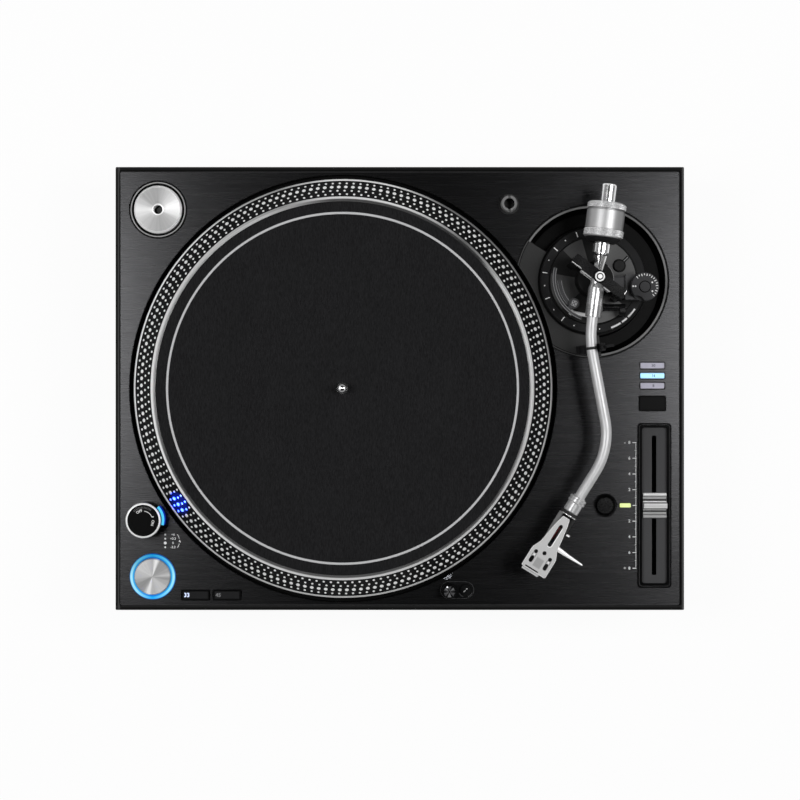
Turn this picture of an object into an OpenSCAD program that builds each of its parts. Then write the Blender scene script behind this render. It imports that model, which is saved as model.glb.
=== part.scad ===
// DJ turntable: a direct-drive deck with an S-shaped tonearm.
// Millimetres, +Z up, +Y to the rear, +X towards the tonearm.
// The origin is on the floor, under the middle of the cabinet.

/* [Clearances] */
// Radial room of a shaft or slide in its bore
running_fit = 0.05; // [0.02:0.01:0.1]
// Room between a moving piece and the opening it passes
moving_gap = 0.3; // [0.25:0.05:0.5]
// Room round a fixed piece in its opening
seat_gap = 0.15; // [0.1:0.05:0.3]

/* [Body] */
// From the platter well to the left side
left_margin = 11.5; // [9:0.5:20]
// From the tonearm pivot to the right side
right_margin = 73.5; // [72:0.5:90]
// From the platter well to the front
front_margin = 6.5; // [6:0.5:20]
// From the platter well to the rear
rear_margin = 6.5; // [6:0.5:20]
// Radius of the upright corners
corner_r = 1; // [0.5:0.5:8]
// Wall of the cabinet
wall_t = 7; // [5:0.5:7]
// Height of the cabinet without its base
cabinet_h = 42.5; // [40:0.5:60]
// Thickness of the deck under the top panel
deck_t = 5; // [4:0.5:7]
// Thickness of the top panel
panel_t = 3; // [2.5:0.1:4]
// How far the panel stands above the cabinet rim
panel_proud = 1.5; // [0.5:0.1:2]
// From the side of the body to the panel
panel_border = 4; // [3:0.1:6]
// Dark groove round the panel
panel_groove = 0.8; // [0.4:0.1:1.5]
// Chamfer along the cabinet's upper edge
edge_chamfer = 1.2; // [0.4:0.1:2]
// Chamfer along the panel's edge
panel_chamfer = 0.5; // [0.2:0.1:1]

/* [Base] */
// Height of the base tray
base_h = 26; // [25:0.5:36]
// Setback of the base at the front and sides
base_inset = 4.5; // [2:0.5:5]
// Setback of the base at the rear, over the sockets
rear_setback = 14.5; // [14:0.5:20]
// Wall of the base tray
base_wall = 5; // [4:0.5:6]
// Floor of the base tray
base_floor = 4; // [3:0.5:5]
// Head diameter of the base screws
screw_head_d = 8; // [6:0.5:10]

/* [Feet] */
// Diameter of a foot
foot_d = 58; // [40:1:64]
// Height of a foot
foot_h = 29; // [24:0.5:36]
// Gap between a foot and the base
foot_gap = 1; // [0.5:0.1:3]
// Diameter of a foot's levelling stud
stud_d = 10; // [8:0.5:12]
// How far the stud reaches into the base
stud_reach = 15; // [12:0.5:18]
// From the side of the body to a foot's axis
foot_in_x = 56; // [50:1:80]
// From the front or rear of the body to a foot's axis
foot_in_y = 54; // [50:1:80]

/* [Platter] */
// Platter diameter
platter_d = 332; // [326:1:336]
// Gap between the platter and its well
well_gap = 4; // [3:0.1:6]
// Depth of the well under the panel's top
well_depth = 8; // [7:0.5:9]
// Height of the mat's seat over the panel's top
mat_rise = 17; // [15:0.5:20]
// Slipmat diameter
slipmat_d = 294; // [286:1:298]
// Slipmat thickness
slipmat_t = 1.5; // [1:0.1:2.5]
// Width of the polished lip round the mat
lip_w = 3.2; // [2:0.1:4]
// Height of the lip over the mat's seat
lip_h = 2.5; // [1.5:0.1:4]
// Height of the outer bead over the panel's top
bead_rise = 5; // [4:0.5:7]
// Width of the outer bead
bead_w = 2; // [1:0.1:3]
// How far the skirt drops under the panel's top
skirt_drop = 3.5; // [2:0.1:5]
// Radial thickness of the skirt
skirt_t = 12; // [8:0.5:14]
// Thickness of the platter's web
web_t = 6.5; // [5:0.5:8]
// Spindle diameter above the mat
spindle_d = 7.15; // [7.05:0.05:7.25]
// Spindle height above the mat
spindle_rise = 13; // [10:0.5:16]
// Shaft diameter in the bearing
shaft_d = 10; // [8:0.5:12]
// Hub diameter under the platter
hub_d = 36; // [30:1:40]

/* [Motor] */
// Outer diameter of the rotor magnet
magnet_d = 132; // [120:1:150]
// Radial width of the rotor magnet
magnet_w = 26; // [20:1:30]
// Height of the rotor magnet
magnet_h = 8; // [6:0.5:9]
// Outer diameter of the stator board
stator_d = 156; // [152:1:200]
// Thickness of the stator board
stator_t = 1.6; // [1.2:0.1:2]
// Number of coils
coil_count = 9; // [6:3:12]
// Diameter of a coil
coil_d = 24; // [18:1:26]
// Height of a coil
coil_h = 5; // [4:0.5:6]
// Outer diameter of the bearing sleeve
bearing_d = 22; // [18:1:26]
// Diameter of the bearing's flange
bearing_flange_d = 44; // [40:1:48]
// Thickness of the bearing's flange
bearing_flange_t = 3; // [2:0.5:4]
// How far the bearing reaches under the well
bearing_reach = 40; // [30:1:42]

/* [Arm base] */
// From the spindle to the tonearm pivot, across
pivot_dx = 198; // [194:0.5:204]
// From the spindle to the tonearm pivot, to the rear
pivot_dy = 85.3; // [80:0.5:92]
// Diameter of the arm base's rim
arm_rim_d = 122.6; // [120:0.2:128]
// Outer diameter of the moat
moat_d = 116; // [112:0.5:117]
// Inner diameter of the moat
moat_in_d = 87; // [86.5:0.5:92]
// Depth of the moat
moat_depth = 9; // [5:0.5:10]
// Thickness under the moat
moat_floor = 3; // [2:0.5:4]
// Wall between the moat and the deck
moat_wall = 1.4; // [1:0.1:2]
// First angle of the moat
moat_from = -83; // [-84:1:-70]
// Angle that the moat covers
moat_sweep = 230; // [200:1:232]
// Diameter of the arm column
column_d = 40; // [36:1:44]
// Wall of the guide that the column slides in
guide_wall = 5; // [4:0.5:6]
// Length of the guide under the arm base
guide_l = 14; // [10:1:16]
// Diameter of the column's top plate
plate_d = 69.6; // [69:0.2:71]
// Thickness of the column's top plate
plate_t = 7.5; // [6:0.5:9]
// Radial width of the height dial
dial_w = 6.6; // [5:0.1:7]
// Height of the height dial
dial_h = 6.5; // [5:0.5:8]

/* [Gimbal] */
// Height of the arm's axis over the panel's top
arm_rise = 39; // [38:0.5:44]
// Direction of the gimbal bridge
bridge_angle = -37; // [-45:1:-30]
// Length of the bridge
bridge_l = 48; // [46:0.5:54]
// Width of the bridge
bridge_w = 8; // [6:0.5:9]
// Thickness of the bridge's bar
bridge_t = 3.5; // [3:0.1:5]
// Thickness of the bridge's posts
post_t = 5; // [4:0.5:6]
// Length of the swinging frame along the tilt axis
frame_l = 27; // [25:0.5:30]
// Width of the swinging frame
frame_w = 7; // [6:0.5:8]
// Thickness of the frame's cheeks
cheek_t = 3; // [2.5:0.5:3.5]
// Thickness of the frame's bars
frame_bar_t = 2.8; // [2:0.1:3.5]
// Half height of the frame's window
window_half_h = 7.7; // [7.4:0.1:8.5]
// Diameter of the tilt pins
tilt_pin_d = 3; // [2:0.1:4]
// Diameter of the swing shaft
swing_shaft_d = 6; // [5:0.5:8]
// Diameter of the upper swing pin
top_pin_d = 3; // [2:0.1:4]
// Diameter of the pedestal under the frame
pedestal_d = 28; // [22:0.5:32]

/* [Tonearm] */
// Lean of the arm at rest, towards the platter
arm_lean = 7.37; // [5:0.1:8]
// Tube diameter
tube_d = 8.3; // [8:0.1:8.8]
// Wall of the tube
tube_wall = 0.8; // [0.5:0.1:1.2]
// Diameter of the front ferrule
ferrule_d = 12; // [10:0.1:12.5]
// Reach of the front ferrule from the pivot
ferrule_reach = 30.4; // [26:0.2:32]
// From the pivot to the first bend's corner
bend_a_at = 47.5; // [47:0.5:52]
// Turn of the first bend
bend_a_turn = 18; // [15:0.5:20]
// Radius of the first bend
bend_a_r = 88; // [60:1:92]
// From the first bend's corner to the second's
bend_b_at = 85.9; // [80:0.1:92]
// Turn of the second bend
bend_b_turn = 42.6; // [38:0.2:46]
// Radius of the second bend
bend_b_r = 56; // [40:1:64]
// From the second bend's corner to the headshell
neck_at = 61.1; // [56:0.1:66]
// Reach of the rear shaft from the pivot
rear_reach = 72.8; // [68:0.2:80]
// Diameter of the rear shaft
rear_shaft_d = 11.8; // [10:0.1:12]
// Diameter of the collar before the weight
rear_collar_d = 13.2; // [12.4:0.1:15]
// From the pivot to that collar
rear_collar_at = 19.2; // [18:0.1:19.5]
// Length of that collar
rear_collar_l = 7.5; // [5:0.1:8]

/* [Counterweight] */
// Diameter of the weight
weight_d = 29.4; // [26:0.1:30]
// Length of the weight
weight_l = 20.5; // [18:0.1:22]
// Diameter of the force dial
force_dial_d = 30; // [26:0.1:30.4]
// Length of the force dial
force_dial_l = 7; // [5:0.1:8]
// From the pivot to the force dial
force_dial_at = 30.5; // [30:0.1:33]
// Diameter of the threaded sleeve
sleeve_d = 18; // [16:0.1:20]

/* [Headshell] */
// Length of the headshell from its neck
head_l = 51.5; // [48:0.1:56]
// Width of the headshell's front
head_w = 21.2; // [19:0.1:24]
// Length of the wide front part
head_front_l = 15.5; // [14:0.1:18]
// Width where the neck ends
waist_w = 14.6; // [13:0.1:17]
// Width of the plate at the neck
neck_w = 7.4; // [7:0.1:9]
// Thickness of the headshell's plate
head_t = 2.8; // [2:0.1:3.5]
// Height of the plate's top over the arm's axis
head_rise = 3.6; // [3.4:0.1:4.2]
// Largest diameter of the neck
neck_d = 14.4; // [13:0.1:15]
// Smallest diameter of the neck
neck_tip_d = 8; // [7.6:0.1:9]
// Length of the neck
neck_l = 27; // [24:0.5:28]
// Spacing of the cartridge holes
cartridge_pitch = 12.7; // [12.5:0.1:13]
// Diameter of the cartridge holes
cartridge_hole_d = 2.7; // [2.5:0.1:3]
// From the front edge back to the cartridge holes
cartridge_hole_in = 8; // [6.5:0.1:10]
// Diameter of the headshell's plug
plug_d = 8; // [7.8:0.05:8.2]
// Length of the headshell's plug
plug_l = 13; // [10:0.5:14]
// Wall of the socket round the plug
socket_wall = 0.95; // [0.8:0.05:1.2]
// Outer diameter of the locking collar
lock_collar_d = 13.8; // [12.8:0.1:15]
// Length of the locking collar
lock_collar_l = 13; // [11:0.1:14]
// Length of the seal between collar and headshell
seal_l = 2.3; // [1.5:0.1:3]
// Length of the finger lift beyond the plate
lift_l = 18.5; // [14:0.5:22]
// Width of the finger lift at its root
lift_root_w = 5; // [4:0.1:6]
// Width of the finger lift at its tip
lift_tip_w = 2.8; // [2:0.1:3.5]
// Thickness of the finger lift
lift_t = 1.2; // [0.8:0.1:1.5]

/* [Arm rest] */
// Turn of the first bend where the rest stands
rest_turn = 13.8; // [12:0.1:14.5]
// Length of the rest along the tube
rest_l = 7; // [6:0.5:8]
// Width of the rest's foot
rest_w = 18; // [16:0.5:20]
// Thickness of the tall prong
prong_t = 4; // [3:0.1:5]
// Room between the tube and the tall prong
prong_gap = 1.4; // [1.2:0.1:2]
// Diameter of the clamp's pin
clamp_pin_d = 2.4; // [2:0.1:3]

/* [Cueing] */
// Radius of the lifter's rail about the pivot
lifter_r = 33; // [32:0.1:34]
// Width of the lifter's rail
lifter_w = 2.6; // [2:0.1:3]
// Thickness of the lifter's rail
lifter_t = 2.5; // [2:0.1:3]
// Room between the rail and the tube when down
lifter_drop = 2.4; // [1.5:0.1:3]
// Diameter of the lifter's stem
stem_d = 4.4; // [3.5:0.1:5]
// Radius of the lifter's stem about the pivot
stem_r = 26; // [25:0.5:28]
// Length of the cue lever
cue_lever_l = 19; // [16:0.5:20]
// Diameter of the lever pins
lever_pin_d = 3; // [2.4:0.1:3.4]
// Length of the height lock lever
lock_lever_l = 16.5; // [14:0.5:18]
// Diameter of the anti-skate knob
skate_knob_d = 22.2; // [20:0.2:24]
// Height of the anti-skate knob
skate_knob_h = 6.5; // [5:0.1:7]
// From the pivot to the anti-skate knob, across
skate_dx = 38.2; // [37:0.1:39]
// From the pivot to the anti-skate knob, to the front
skate_dy = 6; // [5:0.1:7]
// Width of the anti-skate housing
skate_housing_w = 19.4; // [18:0.2:20]
// Height of the anti-skate housing
skate_housing_h = 12.5; // [10:0.1:13]

/* [Power and start] */
// From the left side to the strobe tower
tower_in_x = 25; // [24:0.5:26]
// From the front to the strobe tower
tower_in_y = 72.7; // [64:0.1:76]
// Diameter of the strobe tower
tower_d = 27.6; // [26:0.2:29]
// Height of the tower's fixed part over the panel
tower_rise = 14; // [13:0.5:18]
// Height of the power knob
power_knob_h = 4.5; // [4:0.1:7]
// Height of the strobe lens
strobe_lens_h = 10; // [8:0.5:11]
// How far the strobe lens stands out
strobe_lens_proud = 1.8; // [1:0.1:2.2]
// From the left side to the start button
start_in_x = 30; // [28:0.5:32]
// From the front to the start button
start_in_y = 27; // [25:0.5:29]
// Outer diameter of the light ring
light_ring_d = 36.4; // [34:0.2:38]
// Diameter of the start button
start_d = 28.8; // [26:0.2:29.4]
// Height of the start button over the panel
start_rise = 2.6; // [2:0.1:4]
// From the left side to the first speed button
speed_in_x = 64.1; // [62:0.1:70]
// From the front to the speed buttons
speed_in_y = 12.2; // [12.2:0.1:14]
// Spacing of the speed buttons
speed_pitch = 25; // [24.5:0.1:28]
// Length of a speed button
speed_l = 22; // [20:0.1:22.4]
// Width of a speed button
speed_w = 7.4; // [6.4:0.1:7.4]
// Height of the small buttons over the panel
key_rise = 1.3; // [0.9:0.1:2]

/* [Stylus lamp] */
// From the spindle to the lamp, across
lamp_dx = 84.1; // [82:0.1:90]
// From the front to the lamp
lamp_in_y = 16.2; // [14.5:0.1:17]
// From the lamp to its button
lamp_pitch = 13.1; // [12.6:0.1:14]
// Diameter of the lamp
lamp_d = 11; // [10:0.1:11.4]
// Height of the raised lamp over the panel
lamp_rise = 14; // [10:0.5:20]
// Travel of the lamp
lamp_travel = 13.4; // [9.4:0.1:14]
// Diameter of the lamp's button
lamp_button_d = 9.4; // [8.4:0.1:9.8]
// Width of the plate round both
lamp_plate_w = 13.6; // [13:0.1:15]

/* [Tempo] */
// From the right side to the fader
fader_in_x = 24; // [23:0.5:26]
// From the front to the fader's middle
fader_in_y = 83.5; // [82:0.5:88]
// Travel of the fader
fader_travel = 100; // [90:1:104]
// Width of the fader's frame
fader_w = 27; // [26:0.2:28]
// Width of the fader's border
fader_border = 3.6; // [3:0.1:3.8]
// Height of the fader's border over the panel
fader_proud = 0.8; // [0.4:0.1:1.5]
// Depth of the fader's bed under the panel
fader_bed = 1.6; // [1:0.1:2]
// Width of the fader's slot
fader_slot_w = 3.6; // [3:0.1:4.5]
// Width of the fader knob
fader_knob_w = 18.4; // [16:0.1:18.8]
// Length of the fader knob
fader_knob_l = 20; // [16:0.5:21]
// Height of the fader knob
fader_knob_h = 9; // [7:0.5:11]
// From the right side to the reset button
reset_in_x = 63.2; // [62:0.1:66]
// Diameter of the reset button
reset_d = 13.2; // [11:0.1:14]
// Diameter of the dished ring round the reset button
reset_dish_d = 19; // [17:0.1:20]
// From the right side to the range lights
range_in_x = 25.6; // [25:0.1:28]
// From the front to the last range light
range_light_in_y = 178.7; // [176:0.1:182]
// Spacing of the range lights
range_light_pitch = 8; // [6:0.1:9]
// Length of a range light
range_light_l = 18.8; // [16:0.1:20]
// Width of a range light
range_light_w = 4.4; // [3:0.1:5]
// From the front to the range button
range_in_y = 164.6; // [162:0.1:166]
// Length of the range button
range_l = 20.8; // [18:0.1:22]
// Width of the range button
range_w = 11.4; // [9:0.1:13]
// From the right side to the lock light
lock_light_in_x = 47.1; // [45:0.1:48]
// Length of the lock light
lock_light_l = 8.6; // [7:0.1:9]
// Width of the lock light
lock_light_w = 3.2; // [2.6:0.1:4]

/* [Rear corners] */
// From the left side and the rear to the adapter's well
adapter_in = 34.2; // [32:0.1:36]
// Diameter of the adapter
adapter_d = 38; // [37.5:0.1:38.5]
// Height of the adapter
adapter_h = 8; // [6:0.5:10]
// Hole of the adapter
adapter_hole_d = 7.3; // [7.2:0.05:7.4]
// Diameter of the adapter's well
adapter_well_d = 41.6; // [40:0.1:43]
// Depth of the adapter's well
adapter_well_depth = 6; // [4:0.5:7]
// Width of the ring round the adapter's well
adapter_ring_w = 1.6; // [1.2:0.1:2.5]
// From the right side to the spare headshell socket
spare_in_x = 139.8; // [138:0.1:144]
// From the rear to the spare headshell socket
spare_in_y = 30; // [28:0.5:32]
// Outer diameter of the spare socket
spare_d = 12.8; // [12:0.1:14]
// Bore of the spare socket
spare_bore_d = 8.3; // [8.2:0.05:8.5]
// Height of the spare socket over the panel
spare_rise = 7; // [5:0.5:10]

/* [Sockets at the rear] */
// From the middle of the base to the mains inlet
inlet_dx = -120; // [-150:1:-80]
// Width of the mains inlet's hollow
inlet_w = 24; // [23:0.1:25]
// Height of the mains inlet's hollow
inlet_h = 16; // [15:0.1:17]
// Depth of the mains inlet's hollow
inlet_depth = 16; // [14:0.5:18]
// Wall of the mains inlet
inlet_wall = 1.8; // [1.4:0.1:2.2]
// From the middle of the base to the outputs
jacks_dx = 120; // [80:1:150]
// Spacing of the outputs
jack_pitch = 16; // [14:0.5:20]
// Diameter of an output's barrel
jack_d = 8.3; // [8.2:0.05:8.4]
// Length of an output's barrel
jack_l = 9.5; // [8:0.5:10]

/* [Hidden] */
$fn = 96;
over = 1;

// Heights
base_z = foot_h + foot_gap;
base_top = base_z + base_h;
rim_z = base_top + cabinet_h;
panel_z = rim_z + panel_proud;
deck_top = panel_z - panel_t;
deck_under = deck_top - deck_t;
well_floor_z = panel_z - well_depth;
well_floor_t = 5;
well_wall = 3.5;
mat_z = panel_z + mat_rise;
mat_top = mat_z + slipmat_t;
web_under = mat_z - web_t;
arm_z = panel_z + arm_rise;
dial_z = panel_z + moving_gap;
plate_z = panel_z + 1;
plate_top = plate_z + plate_t;
key_top = panel_z + key_rise;
key_flange_top = deck_under - moving_gap;
key_flange_t = 2.4;
key_flange_w = 1.2;
key_travel = 1.2;
board_t = 1.6;
switch_w = 6;
switch_h = 4.5;
switch_stem_h = 2;
switch_top = key_flange_top - key_flange_t - key_travel - moving_gap;
board_z = switch_top - switch_h - switch_stem_h - board_t;

// Plan
well_r = platter_d / 2 + well_gap;
body_w = left_margin + well_r + pivot_dx + right_margin;
body_d = front_margin + 2 * well_r + rear_margin;
left_x = -body_w / 2;
right_x = body_w / 2;
front_y = -body_d / 2;
rear_y = body_d / 2;
panel_w = body_w - 2 * panel_border;
panel_d = body_d - 2 * panel_border;
panel_r = 2;
platter_x = left_x + left_margin + well_r;
platter_y = front_y + front_margin + well_r;
arm_x = platter_x + pivot_dx;
arm_y = platter_y + pivot_dy;
base_w = body_w - 2 * base_inset;
base_d = body_d - base_inset - rear_setback;
base_y = (base_inset - rear_setback) / 2;
base_rear_y = rear_y - rear_setback;
tower_x = left_x + tower_in_x;
tower_y = front_y + tower_in_y;
start_x = left_x + start_in_x;
start_y = front_y + start_in_y;
speed_y = front_y + speed_in_y;
speed_xs = [left_x + speed_in_x, left_x + speed_in_x + speed_pitch];
lamp_x = platter_x + lamp_dx;
lamp_y = front_y + lamp_in_y;
fader_x = right_x - fader_in_x;
fader_y = front_y + fader_in_y;
reset_x = right_x - reset_in_x;
lock_light_x = right_x - lock_light_in_x;
range_x = right_x - range_in_x;
range_y = front_y + range_in_y;
range_light_ys = [for (i = [0:2]) front_y + range_light_in_y + i * range_light_pitch];
adapter_x = left_x + adapter_in;
adapter_y = rear_y - adapter_in;
spare_x = right_x - spare_in_x;
spare_y = rear_y - spare_in_y;

// Platter outline
platter_r = platter_d / 2;
lip_in_r = slipmat_d / 2 + 0.8;
lip_out_r = lip_in_r + lip_w;
skirt_in_r = platter_r - skirt_t;
lip_z = mat_z + lip_h;
bead_z = panel_z + bead_rise;
skirt_z = panel_z - skirt_drop;
bearing_top = well_floor_z + bearing_flange_t + 8;
hub_z = bearing_top + 1;
spindle_step = 0.6;
spindle_root_r = spindle_d / 2 + spindle_step;
shaft_end = well_floor_z - well_floor_t - bearing_reach;

// Tonearm
arm_rim_r = arm_rim_d / 2;
moat_r = moat_d / 2;
moat_in_r = moat_in_d / 2;
arm_body_r = moat_r + moat_wall;
arm_base_z = panel_z - moat_depth - moat_floor;
dial_in_r = plate_d / 2 + moving_gap;
dial_out_r = dial_in_r + dial_w;
frame_top = arm_z + window_half_h + frame_bar_t;
frame_under = arm_z - window_half_h - frame_bar_t;
bridge_under = frame_top + 0.8;
bridge_top = bridge_under + bridge_t;
pedestal_top = frame_under - 0.6;
swing_shaft_l = 15;
bend_a_t = bend_a_r * tan(bend_a_turn / 2);
bend_b_t = bend_b_r * tan(bend_b_turn / 2);
front_angle = 270 - arm_lean;
weight_at = force_dial_at + force_dial_l + 0.2;
weight_end = weight_at + weight_l;
socket_d = plug_d + 2 * running_fit + 2 * socket_wall;
lock_collar_at = -seal_l - 0.3 - lock_collar_l;
head_under = head_rise - head_t;
cartridge_s = head_l - cartridge_hole_in;
rail_top = arm_z - tube_d / 2 - lifter_drop;
lifter_from = 165;
lifter_sweep = 85;
stem_angle = 228;
cue_x = 5.2;
cue_y = -21.6;
cue_z = plate_top + 6;
lock_x = -1.5;
lock_y = -28.5;
lock_z = plate_top + 4;
skate_z = plate_top + skate_housing_h;
plate_boss = [20.4, 11.7];
prong_y = tube_d / 2 + prong_gap;
clamp_y = prong_y + prong_t / 2;
clamp_dz = tube_d / 2 + 3.2;

// Fader
fader_l = fader_travel + fader_knob_l + 3.8 + 2 * fader_border;
fader_slot_l = fader_travel + 11;
fader_bed_z = panel_z - fader_bed;
fader_under = deck_under + 0.5;

// Sockets
socket_z = base_z + (base_floor + base_h) / 2;

// Shared shapes

// A rectangle with round corners, about its middle
module round_rect(w, d, r) {
  square([w - 2 * r, d], center = true);
  square([w, d - 2 * r], center = true);
  for (x = [-1, 1], y = [-1, 1])
    translate([x * (w / 2 - r), y * (d / 2 - r)]) circle(r);
}

// Two discs and what lies between them, as a flat outline
module pill(pitch, d) {
  translate([0, -d / 2]) square([pitch, d]);
  circle(d / 2);
  translate([pitch, 0]) circle(d / 2);
}

// A slab whose upper edges are chamfered
module chamfered_slab(w, d, h, r, c) {
  intersection() {
    linear_extrude(h) round_rect(w, d, r);
    rotate([90, 0, 90]) linear_extrude(w + 2 * over, center = true) edge_profile(d, h, c);
    rotate([90, 0, 0]) linear_extrude(d + 2 * over, center = true) edge_profile(w, h, c);
  }
}

module edge_profile(w, h, c) {
  polygon([[-w / 2, -over], [w / 2, -over], [w / 2, h - c], [w / 2 - c, h],
           [-w / 2 + c, h], [-w / 2, h - c]]);
}

// A ring about Z
module ring(r_out, r_in, h) {
  difference() {
    cylinder(r = r_out, h = h);
    translate([0, 0, -over]) cylinder(r = r_in, h = h + 2 * over);
  }
}

// A solid turned about Z with a chamfered upper edge
module chamfered_disc(r, h, c) {
  rotate_extrude() polygon([[0, 0], [r, 0], [r, h - c], [r - c, h], [0, h]]);
}

// Rods and rings along X
module rod_x(from, to, r) {
  translate([from, 0, 0]) rotate([0, 90, 0]) cylinder(r = r, h = to - from);
}

module cone_x(from, to, r_from, r_to) {
  translate([from, 0, 0]) rotate([0, 90, 0]) cylinder(r1 = r_from, r2 = r_to, h = to - from);
}

module ring_x(from, to, r_out, r_in) {
  difference() {
    rod_x(from, to, r_out);
    rod_x(from - over, to + over, r_in);
  }
}

// Places
module at_platter() { translate([platter_x, platter_y, 0]) children(); }
module at_arm() { translate([arm_x, arm_y, 0]) children(); }

// The tonearm's own frame: X forward along the arm, Z up, at the pivot
module along_arm() { translate([arm_x, arm_y, arm_z]) rotate([0, 0, front_angle]) children(); }

// The same, pointing back along the arm
module along_arm_rear() { along_arm() rotate([0, 0, 180]) children(); }

// The gimbal's own frame: X along the tilt axis, at the pivot
module along_tilt_axis() { translate([arm_x, arm_y, arm_z]) rotate([0, 0, bridge_angle]) children(); }

// Past a bend to the left, or to the right when the turn is negative
module past_bend(r, turn) {
  side = sign(turn);
  translate([r * sin(abs(turn)), side * r * (1 - cos(turn)), 0]) rotate([0, 0, turn]) children();
}

module at_bend_a() { along_arm() translate([bend_a_at - bend_a_t, 0, 0]) children(); }
module past_bend_a() { at_bend_a() past_bend(bend_a_r, bend_a_turn) children(); }
module at_bend_b() { past_bend_a() translate([bend_b_at - bend_a_t - bend_b_t, 0, 0]) children(); }
module past_bend_b() { at_bend_b() past_bend(bend_b_r, -bend_b_turn) children(); }

// The headshell's own frame: X forward from its neck
module at_headshell() { past_bend_b() translate([neck_at - bend_b_t, 0, 0]) children(); }

// The frame of the tube where it lies in the arm rest
module at_rest() { at_bend_a() past_bend(bend_a_r, rest_turn) children(); }

// Cut-outs

// Openings that the buttons pass, as flat outlines grown by a gap
module key_outlines(gap) {
  for (x = speed_xs) translate([x, speed_y]) round_rect(speed_l + 2 * gap, speed_w + 2 * gap, 1);
  translate([range_x, range_y]) round_rect(range_l + 2 * gap, range_w + 2 * gap, 1.2);
  translate([reset_x, fader_y]) circle(reset_d / 2 + gap);
  translate([start_x, start_y]) circle(start_d / 2 + gap);
}

// Openings of the pieces that stand on the deck
module fixed_outlines() {
  translate([tower_x, tower_y]) circle(tower_d / 2 + seat_gap);
  translate([start_x, start_y]) circle(light_ring_d / 2 + seat_gap);
  translate([lamp_x, lamp_y]) pill(lamp_pitch, lamp_plate_w + 2 * seat_gap);
  for (y = range_light_ys) translate([range_x, y])
    round_rect(range_light_l + 2 * seat_gap, range_light_w + 2 * seat_gap, 0.8);
  translate([lock_light_x, fader_y])
    round_rect(lock_light_l + 2 * seat_gap, lock_light_w + 2 * seat_gap, 0.8);
  translate([adapter_x, adapter_y]) circle(adapter_well_d / 2 + adapter_ring_w + panel_groove);
}

// The opening of the fader's frame
module fader_outline(gap) {
  translate([fader_x, fader_y])
    round_rect(fader_w - fader_border + 2 * gap, fader_l - fader_border + 2 * gap, 2);
}

// The space of the arm base outside the platter's well
module arm_base_space(r, from, to, gap) {
  difference() {
    at_arm() translate([0, 0, from]) cylinder(r = r, h = to - from);
    at_platter() translate([0, 0, from - over]) cylinder(r = well_r + gap, h = to - from + 2 * over);
  }
}

// Body

module cabinet() {
  color([0.05, 0.05, 0.055])
  difference() {
    union() {
      difference() {
        translate([0, 0, base_top]) chamfered_slab(body_w, body_d, cabinet_h, corner_r, edge_chamfer);
        translate([0, 0, base_top - over])
          linear_extrude(deck_under - base_top + over)
            round_rect(body_w - 2 * wall_t, body_d - 2 * wall_t, corner_r);
      }
      at_platter() translate([0, 0, well_floor_z - well_floor_t])
        cylinder(r = well_r + well_wall, h = deck_under - well_floor_z + well_floor_t + over);
      translate([-(body_w - wall_t) / 2, base_rear_y - base_wall, base_top])
        cube([body_w - wall_t, rear_setback - wall_t + base_wall + over, rear_ledge_t]);
      board_posts();
      adapter_seat();
    }
    translate([0, 0, deck_top]) linear_extrude(panel_t + over)
      difference() {
        round_rect(panel_w + 2 * panel_groove, panel_d + 2 * panel_groove, panel_r);
        translate([adapter_x, adapter_y]) circle(adapter_well_d / 2 + adapter_ring_w);
      }
    at_platter() translate([0, 0, well_floor_z]) cylinder(r = well_r, h = well_depth + over);
    at_platter() translate([0, 0, well_floor_z - well_floor_t - over])
      cylinder(r = bearing_d / 2 + seat_gap, h = well_floor_t + 2 * over);
    arm_base_space(arm_body_r + seat_gap, well_floor_z - well_floor_t - over, deck_top + over, 0);
    translate([0, 0, deck_under - over]) linear_extrude(deck_t + 2 * over) {
      key_outlines(moving_gap);
      fader_outline(seat_gap);
      translate([lamp_x, lamp_y]) circle(lamp_d / 2 + moving_gap);
      translate([lamp_x + lamp_pitch, lamp_y]) circle(lamp_button_d / 2 + moving_gap);
      translate([spare_x, spare_y]) circle(spare_d / 2 + seat_gap);
      translate([tower_x, tower_y]) circle(tower_d / 2 - 4);
    }
    translate([adapter_x, adapter_y, panel_z - adapter_well_depth])
      cylinder(r = adapter_well_d / 2, h = adapter_well_depth + over);
  }
}

// Ledge over the sockets at the rear
rear_ledge_t = 4;

// The ring round the adapter's well, and the well's floor under the deck
adapter_floor = 3;
module adapter_seat() {
  translate([adapter_x, adapter_y, panel_z - adapter_well_depth - adapter_floor])
    cylinder(r = adapter_well_d / 2 + adapter_ring_w, h = adapter_well_depth + adapter_floor);
}

// Posts under the deck that carry the control boards
board_post_r = 3.5;
module board_posts() {
  for (p = concat(left_board_posts, right_board_posts))
    translate([p[0], p[1], board_z + board_t])
      cylinder(r = board_post_r, h = deck_under - board_z - board_t + over);
}

module top_panel() {
  color([0.07, 0.07, 0.075])
  difference() {
    translate([0, 0, deck_top]) chamfered_slab(panel_w, panel_d, panel_t, panel_r, panel_chamfer);
    at_platter() translate([0, 0, deck_top - over]) cylinder(r = well_r, h = panel_t + 2 * over);
    at_platter() translate([0, 0, panel_z - panel_chamfer])
      cylinder(r1 = well_r, r2 = well_r + panel_chamfer + over, h = panel_chamfer + over);
    at_arm() translate([0, 0, deck_top - over]) cylinder(r = arm_rim_r + seat_gap, h = panel_t + 2 * over);
    translate([0, 0, deck_top - over]) linear_extrude(panel_t + 2 * over) {
      key_outlines(moving_gap);
      fixed_outlines();
      fader_outline(seat_gap);
      translate([spare_x, spare_y]) circle(spare_d / 2 + seat_gap);
    }
    translate([reset_x, fader_y, panel_z - reset_dish_depth])
      cylinder(r1 = reset_d / 2 + moving_gap, r2 = reset_dish_d / 2, h = reset_dish_depth);
  }
}
reset_dish_depth = 1.4;

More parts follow.
